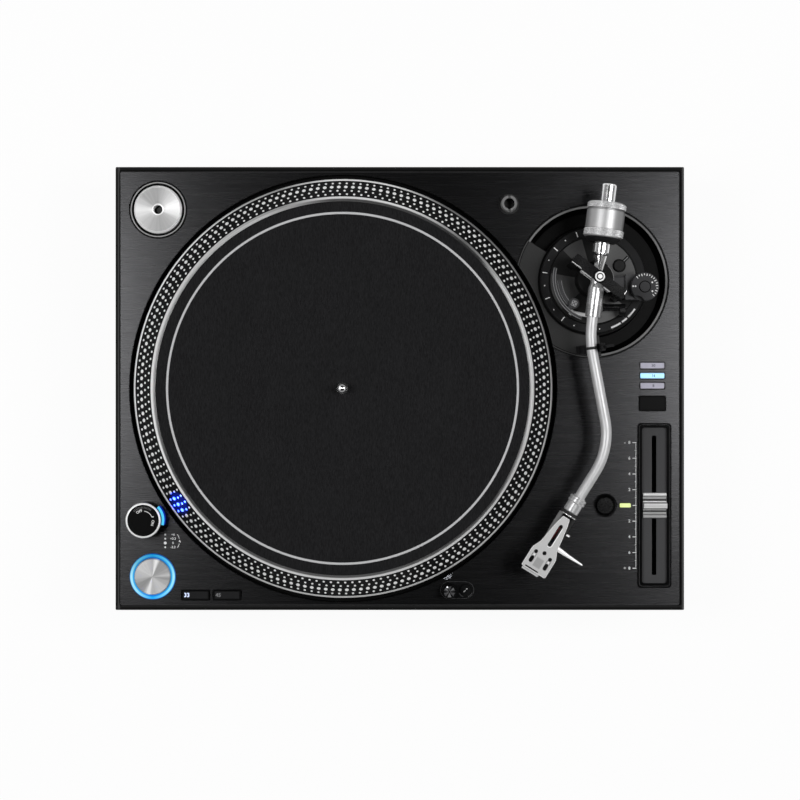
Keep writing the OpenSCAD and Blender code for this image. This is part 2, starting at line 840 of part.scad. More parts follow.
module base_cover() {
  color([0.04, 0.04, 0.045])
  difference() {
    translate([0, base_y, base_z]) union() {
      difference() {
        linear_extrude(base_h) round_rect(base_w, base_d, corner_r);
        translate([0, 0, base_floor]) linear_extrude(base_h)
          round_rect(base_w - 2 * base_wall, base_d - 2 * base_wall, corner_r);
      }
      for (p = foot_places) translate([p[0], p[1] - base_y, 0]) cylinder(r = stud_d, h = stud_reach + 2);
      for (p = screw_places) translate([p[0], p[1] - base_y, 0]) cylinder(r = screw_head_d, h = base_h);
    }
    for (p = foot_places) translate([p[0], p[1], base_z - over])
      cylinder(r = stud_d / 2 + running_fit, h = stud_reach + over + 0.5);
    for (p = screw_places) translate([p[0], p[1], base_z - over]) {
      cylinder(r = screw_head_d / 2 + seat_gap, h = screw_sink + over);
      cylinder(r = screw_head_d / 4 + seat_gap, h = base_h + 2 * over);
    }
    translate([inlet_dx, base_rear_y - base_wall / 2, socket_z])
      cube([inlet_w + 2 * inlet_wall + 2 * seat_gap, base_wall + 2 * over,
            inlet_h + 2 * inlet_wall + 2 * seat_gap], center = true);
    translate([jacks_dx, base_rear_y - base_wall / 2, socket_z])
      cube([rear_plate_w - 6, base_wall + 2 * over, rear_plate_h - 4], center = true);
  }
}

foot_places = [for (x = [left_x + foot_in_x, right_x - foot_in_x],
                    y = [front_y + foot_in_y, rear_y - foot_in_y]) [x, y]];
screw_in = 22;
screw_sink = 4;
screw_places = [for (x = [-base_w / 2 + screw_in, 0, base_w / 2 - screw_in],
                     y = [base_y - base_d / 2 + screw_in, base_y + base_d / 2 - screw_in]) [x, y]];

// Cross-headed screws that hold the base to the cabinet
module base_screws() {
  color([0.35, 0.35, 0.37])
  for (p = screw_places) translate([p[0], p[1], base_z]) difference() {
    union() {
      translate([0, 0, 0.4]) cylinder(r = screw_head_d / 2, h = screw_sink - 0.4);
      cylinder(r = screw_head_d / 4, h = base_h);
    }
    translate([0, 0, -over]) for (a = [0, 90]) rotate([0, 0, a])
      translate([-screw_head_d / 4, -0.6, 0]) cube([screw_head_d / 2, 1.2, 3]);
  }
}

// Arm base with its moat, and the guide that the arm's column slides in
module arm_base() {
  color([0.03, 0.03, 0.033])
  difference() {
    union() {
      arm_base_space(arm_body_r, arm_base_z, deck_top, seat_gap);
      arm_base_space(arm_rim_r, deck_top, panel_z, seat_gap);
      at_arm() translate([0, 0, arm_base_z - guide_l])
        cylinder(r = column_d / 2 + running_fit + guide_wall, h = guide_l + over);
    }
    at_arm() rotate([0, 0, moat_from]) rotate_extrude(angle = moat_sweep)
      polygon([[moat_in_r, panel_z + over], [moat_in_r, panel_z], [moat_in_r + 1.5, panel_z - moat_depth],
               [moat_r - 3.5, panel_z - moat_depth], [moat_r, panel_z - 1], [moat_r, panel_z + over]]);
    at_arm() translate([0, 0, arm_base_z - guide_l - over])
      cylinder(r = column_d / 2 + running_fit, h = panel_z - arm_base_z + guide_l + 2 * over);
  }
}

// The cradle that the tube lies in, low towards the platter, with the clamp's prong behind
module arm_rest() {
  foot_z = panel_z - arm_z;
  cradle_z = -tube_d / 2 - moving_gap;
  color([0.04, 0.04, 0.045])
  at_rest() difference() {
    union() {
      translate([-rest_l / 2, clamp_y + prong_t / 2 - rest_w, foot_z]) cube([rest_l, rest_w, 3]);
      translate([-rest_l / 2 + 0.5, -tube_d / 2 - 1.5, foot_z])
        cube([rest_l - 1, clamp_y + prong_t / 2 + tube_d / 2 + 1.5, cradle_z - 0.2 - foot_z]);
      translate([-rest_l / 2 + 0.5, prong_y, foot_z]) cube([rest_l - 1, prong_t, clamp_dz - foot_z]);
      translate([0, clamp_y, clamp_dz]) rod_x(-rest_l / 2 + 0.5, rest_l / 2 - 0.5, prong_t / 2);
    }
    translate([0, clamp_y, clamp_dz]) rod_x(-rest_l, rest_l, clamp_pin_d / 2 + running_fit);
    translate([-clamp_slot / 2, prong_y - over, clamp_dz - prong_t / 2 - moving_gap])
      cube([clamp_slot, prong_t + 2 * over, prong_t + over]);
  }
}
clamp_slot = 2.6;

// Hook that swings over the tube and down beside it, shown open
clamp_open = 115;
clamp_tip_t = 1.6;
clamp_tip_drop = 5;
module arm_clamp() {
  reach = clamp_y + tube_d / 2 + 0.5 + clamp_tip_t;
  w = clamp_slot - 2 * moving_gap;
  t = prong_t / 2 - 0.2;
  color([0.04, 0.04, 0.045])
  at_rest() translate([0, clamp_y, clamp_dz]) rotate([-clamp_open, 0, 0]) {
    rod_x(-rest_l / 2 + 0.5, rest_l / 2 - 0.5, clamp_pin_d / 2);
    rod_x(-w / 2, w / 2, t);
    translate([-w / 2, -reach, 0]) cube([w, reach, t]);
    translate([-w / 2, -reach, -clamp_tip_drop]) cube([w, clamp_tip_t, clamp_tip_drop + t]);
  }
}

// Motor

module bearing_sleeve() {
  color([0.7, 0.6, 0.4])
  at_platter() difference() {
    union() {
      translate([0, 0, shaft_end - 3]) cylinder(r = bearing_d / 2, h = bearing_top - shaft_end + 3);
      translate([0, 0, well_floor_z]) cylinder(r = bearing_flange_d / 2, h = bearing_flange_t);
    }
    translate([0, 0, shaft_end - 0.2])
      cylinder(r = shaft_d / 2 + running_fit, h = bearing_top - shaft_end + over);
  }
}

// Board with a ring of wound coils under the rotor
module motor_stator() {
  coil_at = (magnet_d - magnet_w) / 2;
  color([0.55, 0.3, 0.15])
  at_platter() translate([0, 0, well_floor_z]) {
    ring(stator_d / 2, bearing_flange_d / 2 + seat_gap, stator_t);
    for (i = [0:coil_count - 1]) rotate([0, 0, i * 360 / coil_count])
      translate([coil_at, 0, stator_t - 0.4]) ring(coil_d / 2, coil_d / 6, coil_h + 0.4);
  }
}

module rotor_magnet() {
  color([0.2, 0.2, 0.2])
  at_platter() translate([0, 0, web_under - magnet_h])
    ring(magnet_d / 2, magnet_d / 2 - magnet_w, magnet_h);
}

// Platter

module platter() {
  color([0.75, 0.75, 0.76])
  at_platter() rotate_extrude(convexity = 4) polygon([
    [shaft_d / 2 + running_fit, hub_z], [hub_d / 2, hub_z], [hub_d / 2, web_under], [skirt_in_r, web_under],
    [skirt_in_r, skirt_z], [platter_r - 1.5, skirt_z], [platter_r, skirt_z + 1.5],
    [platter_r, bead_z - 0.8], [platter_r - 0.8, bead_z], [platter_r - bead_w, bead_z],
    [lip_out_r, lip_z - 0.3], [lip_out_r - 0.5, lip_z], [lip_in_r + 1, lip_z - 0.4],
    [lip_in_r, lip_z - 1.2], [lip_in_r, mat_z], [shaft_d / 2 + running_fit, mat_z]
  ]);
}

module spindle() {
  tip = mat_top + spindle_rise;
  r = spindle_d / 2;
  color([0.85, 0.85, 0.86])
  at_platter() rotate_extrude() polygon([
    [0, shaft_end], [shaft_d / 2, shaft_end], [shaft_d / 2, mat_z], [spindle_root_r, mat_z],
    [spindle_root_r, mat_top], [r, mat_top], [r, tip - 2.5], [r * 0.85, tip - 1.2],
    [r * 0.55, tip - 0.4], [0, tip]
  ]);
}

module slipmat() {
  color([0.12, 0.12, 0.125])
  at_platter() translate([0, 0, mat_z]) ring(slipmat_d / 2, spindle_root_r + moving_gap, slipmat_t);
}

// Arm column and its fittings

module height_dial() {
  color([0.06, 0.06, 0.065])
  at_arm() translate([0, 0, dial_z]) difference() {
    chamfered_disc(dial_out_r, dial_h, 0.6);
    translate([0, 0, -over]) cylinder(r = dial_in_r, h = dial_h + 2 * over);
  }
}

module arm_column() {
  color([0.05, 0.05, 0.055])
  difference() {
    union() {
      at_arm() {
        translate([0, 0, plate_z]) chamfered_disc(plate_d / 2, plate_t, 0.5);
        translate([0, 0, arm_base_z - guide_l])
          cylinder(r = column_d / 2, h = plate_z - arm_base_z + guide_l + over);
        translate([0, 0, plate_top - over]) cylinder(r = pedestal_d / 2, h = pedestal_top - plate_top + over);
        translate([cue_x - 3, cue_y + 3.3, plate_top - over]) cube([6, 3, cue_z - plate_top + 3 + over]);
        translate([cue_x, cue_y + 3.3 + over, cue_z]) rotate([90, 0, 0])
          cylinder(r = lever_pin_d / 2, h = 6 + over);
        translate([lock_x, lock_y, plate_top - over]) cylinder(r = lever_pin_d / 2, h = 6.5 + over);
        translate([plate_boss[0], plate_boss[1], plate_top - over]) cylinder(r = 4.4, h = 2 + over);
      }
    }
    at_arm() {
      translate([0, 0, pedestal_top - swing_shaft_l - over])
        cylinder(r = swing_shaft_d / 2 + running_fit, h = swing_shaft_l + 2 * over);
      translate([0, 0, arm_base_z - guide_l - over])
        cylinder(r = column_d / 2 - 5, h = plate_z - arm_base_z + guide_l - 1);
      rotate([0, 0, stem_angle]) translate([stem_r, 0, plate_z - over])
        cylinder(r = stem_d / 2 + running_fit, h = plate_t + 2 * over);
    }
  }
}

// Fixed bridge over the gimbal, with the upper swing pin and its lock nut
module gimbal_bridge() {
  end = bridge_l / 2;
  color([0.04, 0.04, 0.045])
  along_tilt_axis() {
    translate([0, 0, bridge_under - arm_z + bridge_t / 2])
      cube([bridge_l, bridge_w, bridge_t], center = true);
    for (s = [-1, 1]) translate([s * (end - post_t / 2), 0, (plate_top + bridge_under) / 2 - arm_z])
      cube([post_t, bridge_w, bridge_under - plate_top], center = true);
    translate([0, 0, frame_top - arm_z - frame_bar_t + 0.3])
      cylinder(r = top_pin_d / 2, h = bridge_under - frame_top + frame_bar_t);
    translate([0, 0, bridge_top - arm_z - over]) cylinder(r = 4, h = 1.4 + over);
    translate([0, 0, bridge_top - arm_z - over]) cylinder(r = 2, h = 2.4 + over);
  }
}

// Frame that swings about Z inside the bridge and carries the tilt pins
module swing_frame() {
  color([0.6, 0.6, 0.62])
  along_tilt_axis() difference() {
    union() {
      translate([0, 0, (frame_top + frame_under) / 2 - arm_z])
        cube([frame_l, frame_w, frame_top - frame_under], center = true);
      translate([0, 0, pedestal_top - swing_shaft_l - arm_z])
        cylinder(r = swing_shaft_d / 2, h = frame_under - pedestal_top + swing_shaft_l + over);
    }
    cube([frame_l - 2 * cheek_t, frame_w + 2 * over, 2 * window_half_h], center = true);
    rod_x(-frame_l, frame_l, tilt_pin_d / 2 + running_fit);
    translate([0, 0, window_half_h - over])
      cylinder(r = top_pin_d / 2 + running_fit, h = frame_bar_t + 2 * over);
  }
}

// Rod of the pivot block between the frame's cheeks
tilt_rod_r = 4.2;
tilt_rod_gap = 0.6;
module tilt_rod(gap) {
  end = frame_l / 2 - cheek_t - tilt_rod_gap + gap;
  along_tilt_axis() rod_x(-end, end, tilt_rod_r + gap);
}

// Block on the tilt pins, with the front ferrule
pivot_block_l = 5;
module arm_pivot_block() {
  color([0.72, 0.72, 0.74])
  union() {
    along_tilt_axis() rod_x(-frame_l / 2 + 0.2, frame_l / 2 - 0.2, tilt_pin_d / 2);
    tilt_rod(0);
    along_arm() {
      rod_x(-pivot_block_l, 6, ferrule_d / 2 - 1);
      cone_x(5, 8, ferrule_d / 2 - 1, ferrule_d / 2);
      rod_x(8, ferrule_reach, ferrule_d / 2);
    }
  }
}

// Shaft behind the pivot that the counterweight rides on
module arm_rear_shaft() {
  r = rear_shaft_d / 2;
  c = rear_collar_at;
  color([0.8, 0.8, 0.82])
  difference() {
    along_arm_rear() {
      cone_x(pivot_block_l, c - 1.3, 3.2, r - 0.3);
      rod_x(c - 1.3, c, r - 1.4);
      rod_x(c, c + rear_collar_l, rear_collar_d / 2);
      rod_x(c + rear_collar_l, rear_reach - 1, r);
      cone_x(rear_reach - 1, rear_reach, r, r - 1);
    }
    tilt_rod(seat_gap);
  }
}

// Hollow length of tube along X
module tube_run(l) { ring_x(0, l, tube_d / 2, tube_d / 2 - tube_wall); }

// Hollow bend, to the left or to the right
module tube_bend(r, turn) {
  mirror([0, turn < 0 ? 1 : 0, 0]) translate([0, r, 0]) rotate([0, 0, -90])
    rotate_extrude(angle = abs(turn)) translate([r, 0]) difference() {
      circle(tube_d / 2);
      circle(tube_d / 2 - tube_wall);
    }
}

module arm_tube() {
  socket_at = lock_collar_at - 1;
  color([0.78, 0.78, 0.8])
  union() {
    along_arm() translate([ferrule_reach, 0, 0]) tube_run(bend_a_at - bend_a_t - ferrule_reach);
    at_bend_a() tube_bend(bend_a_r, bend_a_turn);
    past_bend_a() tube_run(bend_b_at - bend_a_t - bend_b_t);
    at_bend_b() tube_bend(bend_b_r, -bend_b_turn);
    past_bend_b() tube_run(neck_at - bend_b_t + socket_at);
    at_headshell() ring_x(socket_at, -seal_l - 0.4, socket_d / 2, plug_d / 2 + running_fit);
  }
}

// Counterweight

module weight_sleeve() {
  color([0.3, 0.3, 0.3])
  along_arm_rear()
    ring_x(force_dial_at + 0.6, weight_end - 1.2, sleeve_d / 2, rear_shaft_d / 2 + running_fit);
}

module counterweight() {
  r = weight_d / 2;
  color([0.7, 0.7, 0.72])
  along_arm_rear() rotate([0, 90, 0]) rotate_extrude() polygon([
    [sleeve_d / 2 + running_fit, weight_at], [r, weight_at], [r, weight_end - 6.4], [r - 0.8, weight_end - 6],
    [r - 0.8, weight_end - 5.4], [r, weight_end - 5], [r, weight_end - 0.8], [r - 0.8, weight_end],
    [sleeve_d / 2 + running_fit, weight_end]
  ]);
}

module force_dial() {
  r = force_dial_d / 2;
  end = force_dial_at + force_dial_l;
  color([0.7, 0.7, 0.72])
  along_arm_rear() rotate([0, 90, 0]) rotate_extrude() polygon([
    [sleeve_d / 2 + running_fit, force_dial_at + 0.6], [r - 3, force_dial_at], [r - 0.6, force_dial_at + 0.8],
    [r, force_dial_at + 1.4], [r, end], [sleeve_d / 2 + running_fit, end]
  ]);
}

// Headshell

module locking_collar() {
  r = lock_collar_d / 2;
  a = lock_collar_at;
  bore = socket_d / 2 + running_fit;
  color([0.76, 0.76, 0.78])
  at_headshell() rotate([0, 90, 0]) rotate_extrude() polygon([
    [bore, a], [r - 0.6, a], [r, a + 0.6], [r, a + 1.8], [r - 0.5, a + 2.2], [r - 0.5, a + 2.8], [r, a + 3.2],
    [r, a + 4.6], [r - 0.8, a + 5.4], [r - 0.8, a + lock_collar_l - 0.6], [r - 1.2, a + lock_collar_l],
    [bore, a + lock_collar_l]
  ]);
}

// Outline of the headshell's plate, along X from its neck
module head_outline() {
  front = head_l - head_front_l;
  waist = front - 7.5;
  polygon([
    [2.5, -neck_w / 2], [waist, -waist_w / 2], [front - 2, -head_w / 2 + 0.8], [front, -head_w / 2],
    [head_l - 1, -head_w / 2], [head_l, -head_w / 2 + 1], [head_l, head_w / 2 - 1], [head_l - 1, head_w / 2],
    [front, head_w / 2], [front - 2, head_w / 2 - 0.8], [waist, waist_w / 2], [2.5, neck_w / 2]
  ]);
}

// A slot along X with round ends
module head_slot(from, to, y, w) {
  translate([from, y]) pill(to - from, w);
}

module headshell() {
  hole_r = cartridge_hole_d / 2;
  lead_slot_w = 3;
  color([0.78, 0.78, 0.8])
  at_headshell() difference() {
    union() {
      translate([0, 0, head_under]) linear_extrude(head_t) head_outline();
      intersection() {
        cone_x(0, neck_l, neck_d / 2, neck_tip_d / 2);
        translate([-over, -neck_d, -neck_d]) cube([neck_l + 2 * over, 2 * neck_d, neck_d + head_rise]);
      }
      rod_x(-seal_l, 0.5, socket_d / 2 + 0.5);
      rod_x(-plug_l, 0.5, plug_d / 2);
    }
    translate([0, 0, -neck_d]) linear_extrude(2 * neck_d) {
      head_slot(12, neck_l, 0, lead_slot_w);
      translate([head_l - head_front_l - 1, 0]) circle(1.5);
      for (s = [-1, 1]) translate([cartridge_s, s * cartridge_pitch / 2]) circle(hole_r);
      for (s = [-1, 1])
        head_slot(cartridge_s - 7.2, cartridge_s - 4.6, s * cartridge_pitch / 2, cartridge_hole_d);
    }
    translate([head_l - 2.6, -head_w / 2 + 3.4, head_rise - 0.8]) cube([0.9, head_w - 6.8, 2]);
  }
}

// Strip that the finger lifts the headshell by, under the plate
lift_back = 10;
lift_root_y = 5;
lift_slant = 1.7;
module finger_lift() {
  root_x = head_l - head_front_l - lift_back;
  tip_x = root_x + lift_slant;
  tip_y = head_w / 2 + lift_l;
  color([0.74, 0.74, 0.76])
  at_headshell() translate([0, 0, head_under - lift_t]) linear_extrude(lift_t) {
    polygon([
      [root_x - lift_root_w / 2, lift_root_y], [root_x + lift_root_w / 2, lift_root_y],
      [tip_x + lift_tip_w / 2, tip_y], [tip_x - lift_tip_w / 2, tip_y]
    ]);
    translate([tip_x, tip_y]) circle(lift_tip_w / 2);
  }
}

// Four leads from the plug through the neck's slot to their clips
lead_r = 0.45;
function lead_route(side, row) = [
  [11.6, side * 0.7, 0.6 - 1.5 * row], [15, side * 0.7, 0.2 - 1.5 * row], [20, side * 0.75, -1.2 - 1.4 * row],
  [25, side * 0.8, -2.6 - 1.2 * row], [30, side * (1.2 + 0.7 * row), -3.4 - 0.6 * row],
  [35, side * (2 + 1.3 * row), -3 - 0.3 * row], [39, side * (2.4 + 1.7 * row), -2.2]
];
lead_sides = 6;
module lead(route) {
  n = len(route);
  points = [for (p = route, k = [0:lead_sides - 1])
    p + lead_r * [0, cos(360 * k / lead_sides), sin(360 * k / lead_sides)]];
  walls = [for (i = [0:n - 2], k = [0:lead_sides - 1])
    let (a = i * lead_sides, b = a + lead_sides, m = (k + 1) % lead_sides) each [
      [b + m, a + m, a + k], [b + k, b + m, a + k]]];
  caps = [[for (k = [0:lead_sides - 1]) k], [for (k = [lead_sides - 1:-1:0]) (n - 1) * lead_sides + k]];
  polyhedron(points, concat(walls, caps));
}

module headshell_leads() {
  color([0.6, 0.1, 0.1])
  at_headshell() for (side = [-1, 1], row = [0, 1]) lead(lead_route(side, row));
}

// Cueing and anti-skate

lifter_plate_t = 2.5;
lifter_boss_r = 4;
lifter_boss_rise = 1.2;
lifter_arm_w = 3.6;
lifter_arm_raise = 0.8;
inner_arc_out = 2.6;
inner_arc_w = 3.4;
inner_arc_t = 1.4;
inner_arc_raise = 0.5;
inner_arc_from = stem_angle - 46;
inner_arc_sweep = 43;
module lifter_arc(r, w, z, t, from, sweep) {
  rotate([0, 0, from]) rotate_extrude(angle = sweep) translate([r - w / 2, z]) square([w, t]);
}

module arm_lifter() {
  rail_z = rail_top - lifter_t;
  plate_under = rail_z - lifter_plate_t;
  color([0.04, 0.04, 0.045])
  at_arm() union() {
    lifter_arc(lifter_r, lifter_w, rail_z, lifter_t, lifter_from, lifter_sweep);
    lifter_arc(stem_r + inner_arc_out, inner_arc_w, plate_under + inner_arc_raise, inner_arc_t,
               inner_arc_from, inner_arc_sweep);
    rotate([0, 0, stem_angle]) {
      translate([stem_r, -lifter_arm_w / 2, plate_under + lifter_arm_raise])
        cube([lifter_r - stem_r, lifter_arm_w, lifter_plate_t]);
      translate([stem_r, 0, plate_under]) cylinder(r = lifter_boss_r, h = lifter_plate_t + lifter_boss_rise);
      translate([stem_r, 0, plate_z]) cylinder(r = stem_d / 2, h = plate_under - plate_z + 1);
    }
  }
}

cue_hub_r = 3;
cue_hub_w = 6;
cue_rod_r = 2.7;
cue_grip_r = 4.2;
cue_grip_l = 4.4;
cue_grip_from = 1.4;
cue_grip_w = 2;
module cue_lever() {
  grip_x = cue_lever_l - cue_grip_l;
  color([0.04, 0.04, 0.045])
  at_arm() translate([cue_x, cue_y, cue_z]) difference() {
    union() {
      rotate([90, 0, 0]) translate([0, 0, -cue_hub_w / 2]) cylinder(r = cue_hub_r, h = cue_hub_w);
      rod_x(1, grip_x + 1, cue_rod_r);
      translate([0, -cue_grip_from, 0]) {
        rod_x(grip_x, cue_lever_l, cue_grip_r);
        translate([0, -cue_grip_w, 0]) rod_x(grip_x, cue_lever_l, cue_grip_r);
        translate([grip_x, -cue_grip_w, -cue_grip_r]) cube([cue_grip_l, cue_grip_w, 2 * cue_grip_r]);
      }
    }
    rotate([90, 0, 0]) translate([0, 0, -cue_hub_w])
      cylinder(r = lever_pin_d / 2 + running_fit, h = 2 * cue_hub_w);
  }
}

// Ball-ended lever that locks the arm's height
lock_lever_angle = 169;
module height_lock_lever() {
  color([0.75, 0.75, 0.77])
  at_arm() translate([lock_x, lock_y, lock_z]) rotate([0, 0, lock_lever_angle]) difference() {
    union() {
      translate([0, 0, -3.6]) cylinder(r = 3.4, h = 6.4);
      rod_x(2, lock_lever_l, 1.5);
      translate([lock_lever_l, 0, 0]) sphere(r = 2.3);
    }
    translate([0, 0, -4 - over]) cylinder(r = lever_pin_d / 2 + running_fit, h = 9 + 2 * over);
  }
}

module skate_housing() {
  from = 23.8;
  color([0.03, 0.03, 0.033])
  at_arm() difference() {
    translate([0, -skate_dy, plate_top]) union() {
      translate([from, -skate_housing_w / 2, 0]) cube([skate_dx - from, skate_housing_w, skate_housing_h]);
      translate([skate_dx, 0, 0]) chamfered_disc(skate_housing_w / 2, skate_housing_h, 0.8);
    }
    translate([skate_dx, -skate_dy, plate_top + 2]) cylinder(r = 2.5 + running_fit, h = skate_housing_h);
  }
}

skate_bite_angle = 245;
module skate_knob() {
  color([0.08, 0.08, 0.085])
  at_arm() translate([skate_dx, -skate_dy, skate_z]) difference() {
    union() {
      translate([0, 0, moving_gap]) chamfered_disc(skate_knob_d / 2, skate_knob_h - moving_gap, 0.7);
      translate([0, 0, skate_knob_h - over]) cylinder(r = 3.9, h = over + 0.8);
      translate([0, 0, -8]) cylinder(r = 2.5, h = 9);
    }
    rotate([0, 0, skate_bite_angle]) translate([skate_knob_d / 2 + 3.2, 0, moving_gap + 1.6])
      cylinder(r = 6, h = skate_knob_h);
  }
}

// Power, strobe and start

strobe_angle = 14;
strobe_sweep = 60;
strobe_lens_in = 3;
strobe_lens_z = panel_z + 1.2;

module strobe_segment(r_in, r_out, z, h, extra) {
  rotate([0, 0, strobe_angle - strobe_sweep / 2 - extra]) rotate_extrude(angle = strobe_sweep + 2 * extra)
    translate([r_in, z]) square([r_out - r_in, h]);
}

module strobe_tower() {
  r = tower_d / 2;
  color([0.03, 0.03, 0.033])
  translate([tower_x, tower_y, 0]) difference() {
    translate([0, 0, deck_top]) cylinder(r = r, h = panel_z + tower_rise - deck_top);
    strobe_segment(r - strobe_lens_in - seat_gap, r + over, strobe_lens_z - seat_gap,
                   strobe_lens_h + 2 * seat_gap, 1);
    translate([0, 0, panel_z + tower_rise - 8]) cylinder(r = 3 + running_fit, h = 8 + over);
  }
}

module strobe_lens() {
  r = tower_d / 2;
  color([0.4, 0.85, 1])
  translate([tower_x, tower_y, 0])
    strobe_segment(r - strobe_lens_in, r + strobe_lens_proud, strobe_lens_z, strobe_lens_h, 0);
}

module power_knob() {
  z = panel_z + tower_rise;
  color([0.03, 0.03, 0.033])
  translate([tower_x, tower_y, z]) union() {
    translate([0, 0, moving_gap]) chamfered_disc(tower_d / 2, power_knob_h, 0.8);
    translate([0, 0, -7]) cylinder(r = 3, h = 8);
  }
}

module start_light_ring() {
  color([0.6, 0.9, 1])
  translate([start_x, start_y, deck_top]) difference() {
    chamfered_disc(light_ring_d / 2, panel_t + 1.5, 0.6);
    translate([0, 0, -over]) cylinder(r = start_d / 2 + moving_gap, h = panel_t + 4 * over);
  }
}

// A button's shank, and the flange that keeps it under the deck
module start_stop_button() {
  color([0.7, 0.7, 0.72])
  translate([start_x, start_y, 0]) {
    translate([0, 0, key_flange_top - over])
      chamfered_disc(start_d / 2, panel_z + start_rise - key_flange_top + over, 0.7);
    translate([0, 0, key_flange_top - key_flange_t])
      cylinder(r = start_d / 2 + key_flange_w, h = key_flange_t);
  }
}

module box_key(x, y, l, w, r) {
  translate([x, y, 0]) {
    translate([0, 0, key_flange_top - over])
      linear_extrude(key_top - key_flange_top + over) round_rect(l, w, r);
    translate([0, 0, key_flange_top - key_flange_t]) linear_extrude(key_flange_t)
      round_rect(l + 2 * key_flange_w, w + 2 * key_flange_w, r);
  }
}

module button_33() { color([0.6, 0.7, 0.9]) box_key(speed_xs[0], speed_y, speed_l, speed_w, 0.8); }
module button_45() { color([0.2, 0.2, 0.22]) box_key(speed_xs[1], speed_y, speed_l, speed_w, 0.8); }
module range_button() { color([0.05, 0.05, 0.055]) box_key(range_x, range_y, range_l, range_w, 1); }

module reset_button() {
  color([0.05, 0.05, 0.055])
  translate([reset_x, fader_y, 0]) {
    translate([0, 0, key_flange_top - over])
      chamfered_disc(reset_d / 2, key_top - key_flange_top + over, 0.5);
    translate([0, 0, key_flange_top - key_flange_t])
      cylinder(r = reset_d / 2 + key_flange_w, h = key_flange_t);
  }
}

// Range lights and the lock light, seated on the deck
module indicator_lights() {
  h = panel_t + 0.2;
  color([0.75, 0.75, 0.85]) {
    for (y = range_light_ys) translate([range_x, y, deck_top])
      linear_extrude(h) round_rect(range_light_l, range_light_w, 0.7);
    translate([lock_light_x, fader_y, deck_top])
      linear_extrude(h) round_rect(lock_light_l, lock_light_w, 0.7);
  }
}

// Stylus lamp

module lamp_plate() {
  color([0.1, 0.1, 0.105])
  translate([lamp_x, lamp_y, deck_top]) difference() {
    linear_extrude(panel_t + 0.4) pill(lamp_pitch, lamp_plate_w);
    translate([0, 0, -over]) cylinder(r = lamp_d / 2 + running_fit, h = panel_t + 3 * over);
    translate([lamp_pitch, 0, -over]) cylinder(r = lamp_button_d / 2 + moving_gap, h = panel_t + 3 * over);
  }
}

lamp_depth = 18;
lamp_eye_drop = 5;
lamp_eye_in = 2;
lamp_eye_r = 2.2;
module stylus_lamp() {
  r = lamp_d / 2;
  top = panel_z + lamp_rise;
  eye = [platter_x - lamp_x, platter_y - lamp_y];
  color([0.75, 0.75, 0.77])
  translate([lamp_x, lamp_y, 0]) difference() {
    translate([0, 0, panel_z - lamp_depth]) chamfered_disc(r, lamp_rise + lamp_depth, 1);
    translate([0, 0, top - lamp_eye_drop]) rotate([0, 0, atan2(eye[1], eye[0])])
      rod_x(r - lamp_eye_in, r + over, lamp_eye_r);
  }
}

lamp_flange_w = 0.8;
module lamp_button() {
  color([0.06, 0.06, 0.065])
  translate([lamp_x + lamp_pitch, lamp_y, 0]) {
    translate([0, 0, key_flange_top - over])
      chamfered_disc(lamp_button_d / 2, key_top - key_flange_top + over, 0.5);
    translate([0, 0, key_flange_top - key_flange_t])
      cylinder(r = lamp_button_d / 2 + lamp_flange_w, h = key_flange_t);
  }
}

// Tempo fader

module fader_frame() {
  color([0.04, 0.04, 0.045])
  difference() {
    union() {
      translate([fader_x, fader_y, panel_z]) linear_extrude(fader_proud) round_rect(fader_w, fader_l, 3);
      translate([0, 0, fader_under]) linear_extrude(panel_z - fader_under + fader_proud) fader_outline(0);
    }
    translate([fader_x, fader_y, fader_bed_z]) linear_extrude(fader_bed + fader_proud + over)
      round_rect(fader_w - 2 * fader_border, fader_l - 2 * fader_border, 2);
    translate([fader_x, fader_y, fader_under - over]) linear_extrude(panel_z)
      round_rect(fader_slot_w, fader_slot_l, 1);
  }
}

// Channel of the slide control under the fader, with its track
rail_h = 7;
rail_side = 4;
rail_wall = 1;
rail_floor = 1.2;
rail_end = 2;
module fader_rail() {
  w = fader_slot_w + 2 * rail_side;
  l = fader_slot_l + 2 * rail_end;
  color([0.55, 0.55, 0.57])
  translate([fader_x, fader_y, fader_under - rail_h]) difference() {
    translate([-w / 2, -l / 2, 0]) cube([w, l, rail_h]);
    translate([-w / 2 + rail_wall, -fader_slot_l / 2, rail_floor])
      cube([w - 2 * rail_wall, fader_slot_l, rail_h]);
  }
}

module tempo_fader() {
  z = fader_bed_z + moving_gap;
  e = fader_knob_l / 2;
  top = fader_knob_h;
  color([0.72, 0.72, 0.74])
  translate([fader_x, fader_y, 0]) {
    translate([0, 0, z]) rotate([90, 0, 90]) linear_extrude(fader_knob_w, center = true) polygon([
      [-e, 0], [e, 0], [e, 3.6], [e - 0.6, 4.4], [e - 2.4, 4.4], [e - 3.4, 3], [3.2, 3], [2, top - 0.5],
      [1.5, top], [-1.5, top], [-2, top - 0.5], [-3.2, 3], [-e + 3.4, 3], [-e + 2.4, 4.4],
      [-e + 0.6, 4.4], [-e, 3.6]
    ]);
    translate([-fader_slot_w / 2 + moving_gap, -4, fader_under - 4])
      cube([fader_slot_w - 2 * moving_gap, 8, z - fader_under + 4 + over]);
  }
}

// Rear corners

adapter_foot_edge = 0.6;
adapter_bevel = 1.4;
adapter_dish_r = 6.5;
adapter_dish = 0.6;
module record_adapter() {
  r = adapter_d / 2;
  color([0.8, 0.8, 0.82])
  translate([adapter_x, adapter_y, panel_z - adapter_well_depth]) difference() {
    rotate_extrude() polygon([
      [0, 0], [r - adapter_foot_edge, 0], [r, adapter_foot_edge], [r, adapter_h - adapter_bevel],
      [r - adapter_bevel, adapter_h], [adapter_dish_r, adapter_h - adapter_dish],
      [0, adapter_h - adapter_dish]
    ]);
    translate([0, 0, -over]) cylinder(r = adapter_hole_d / 2, h = adapter_h + 2 * over);
  }
}

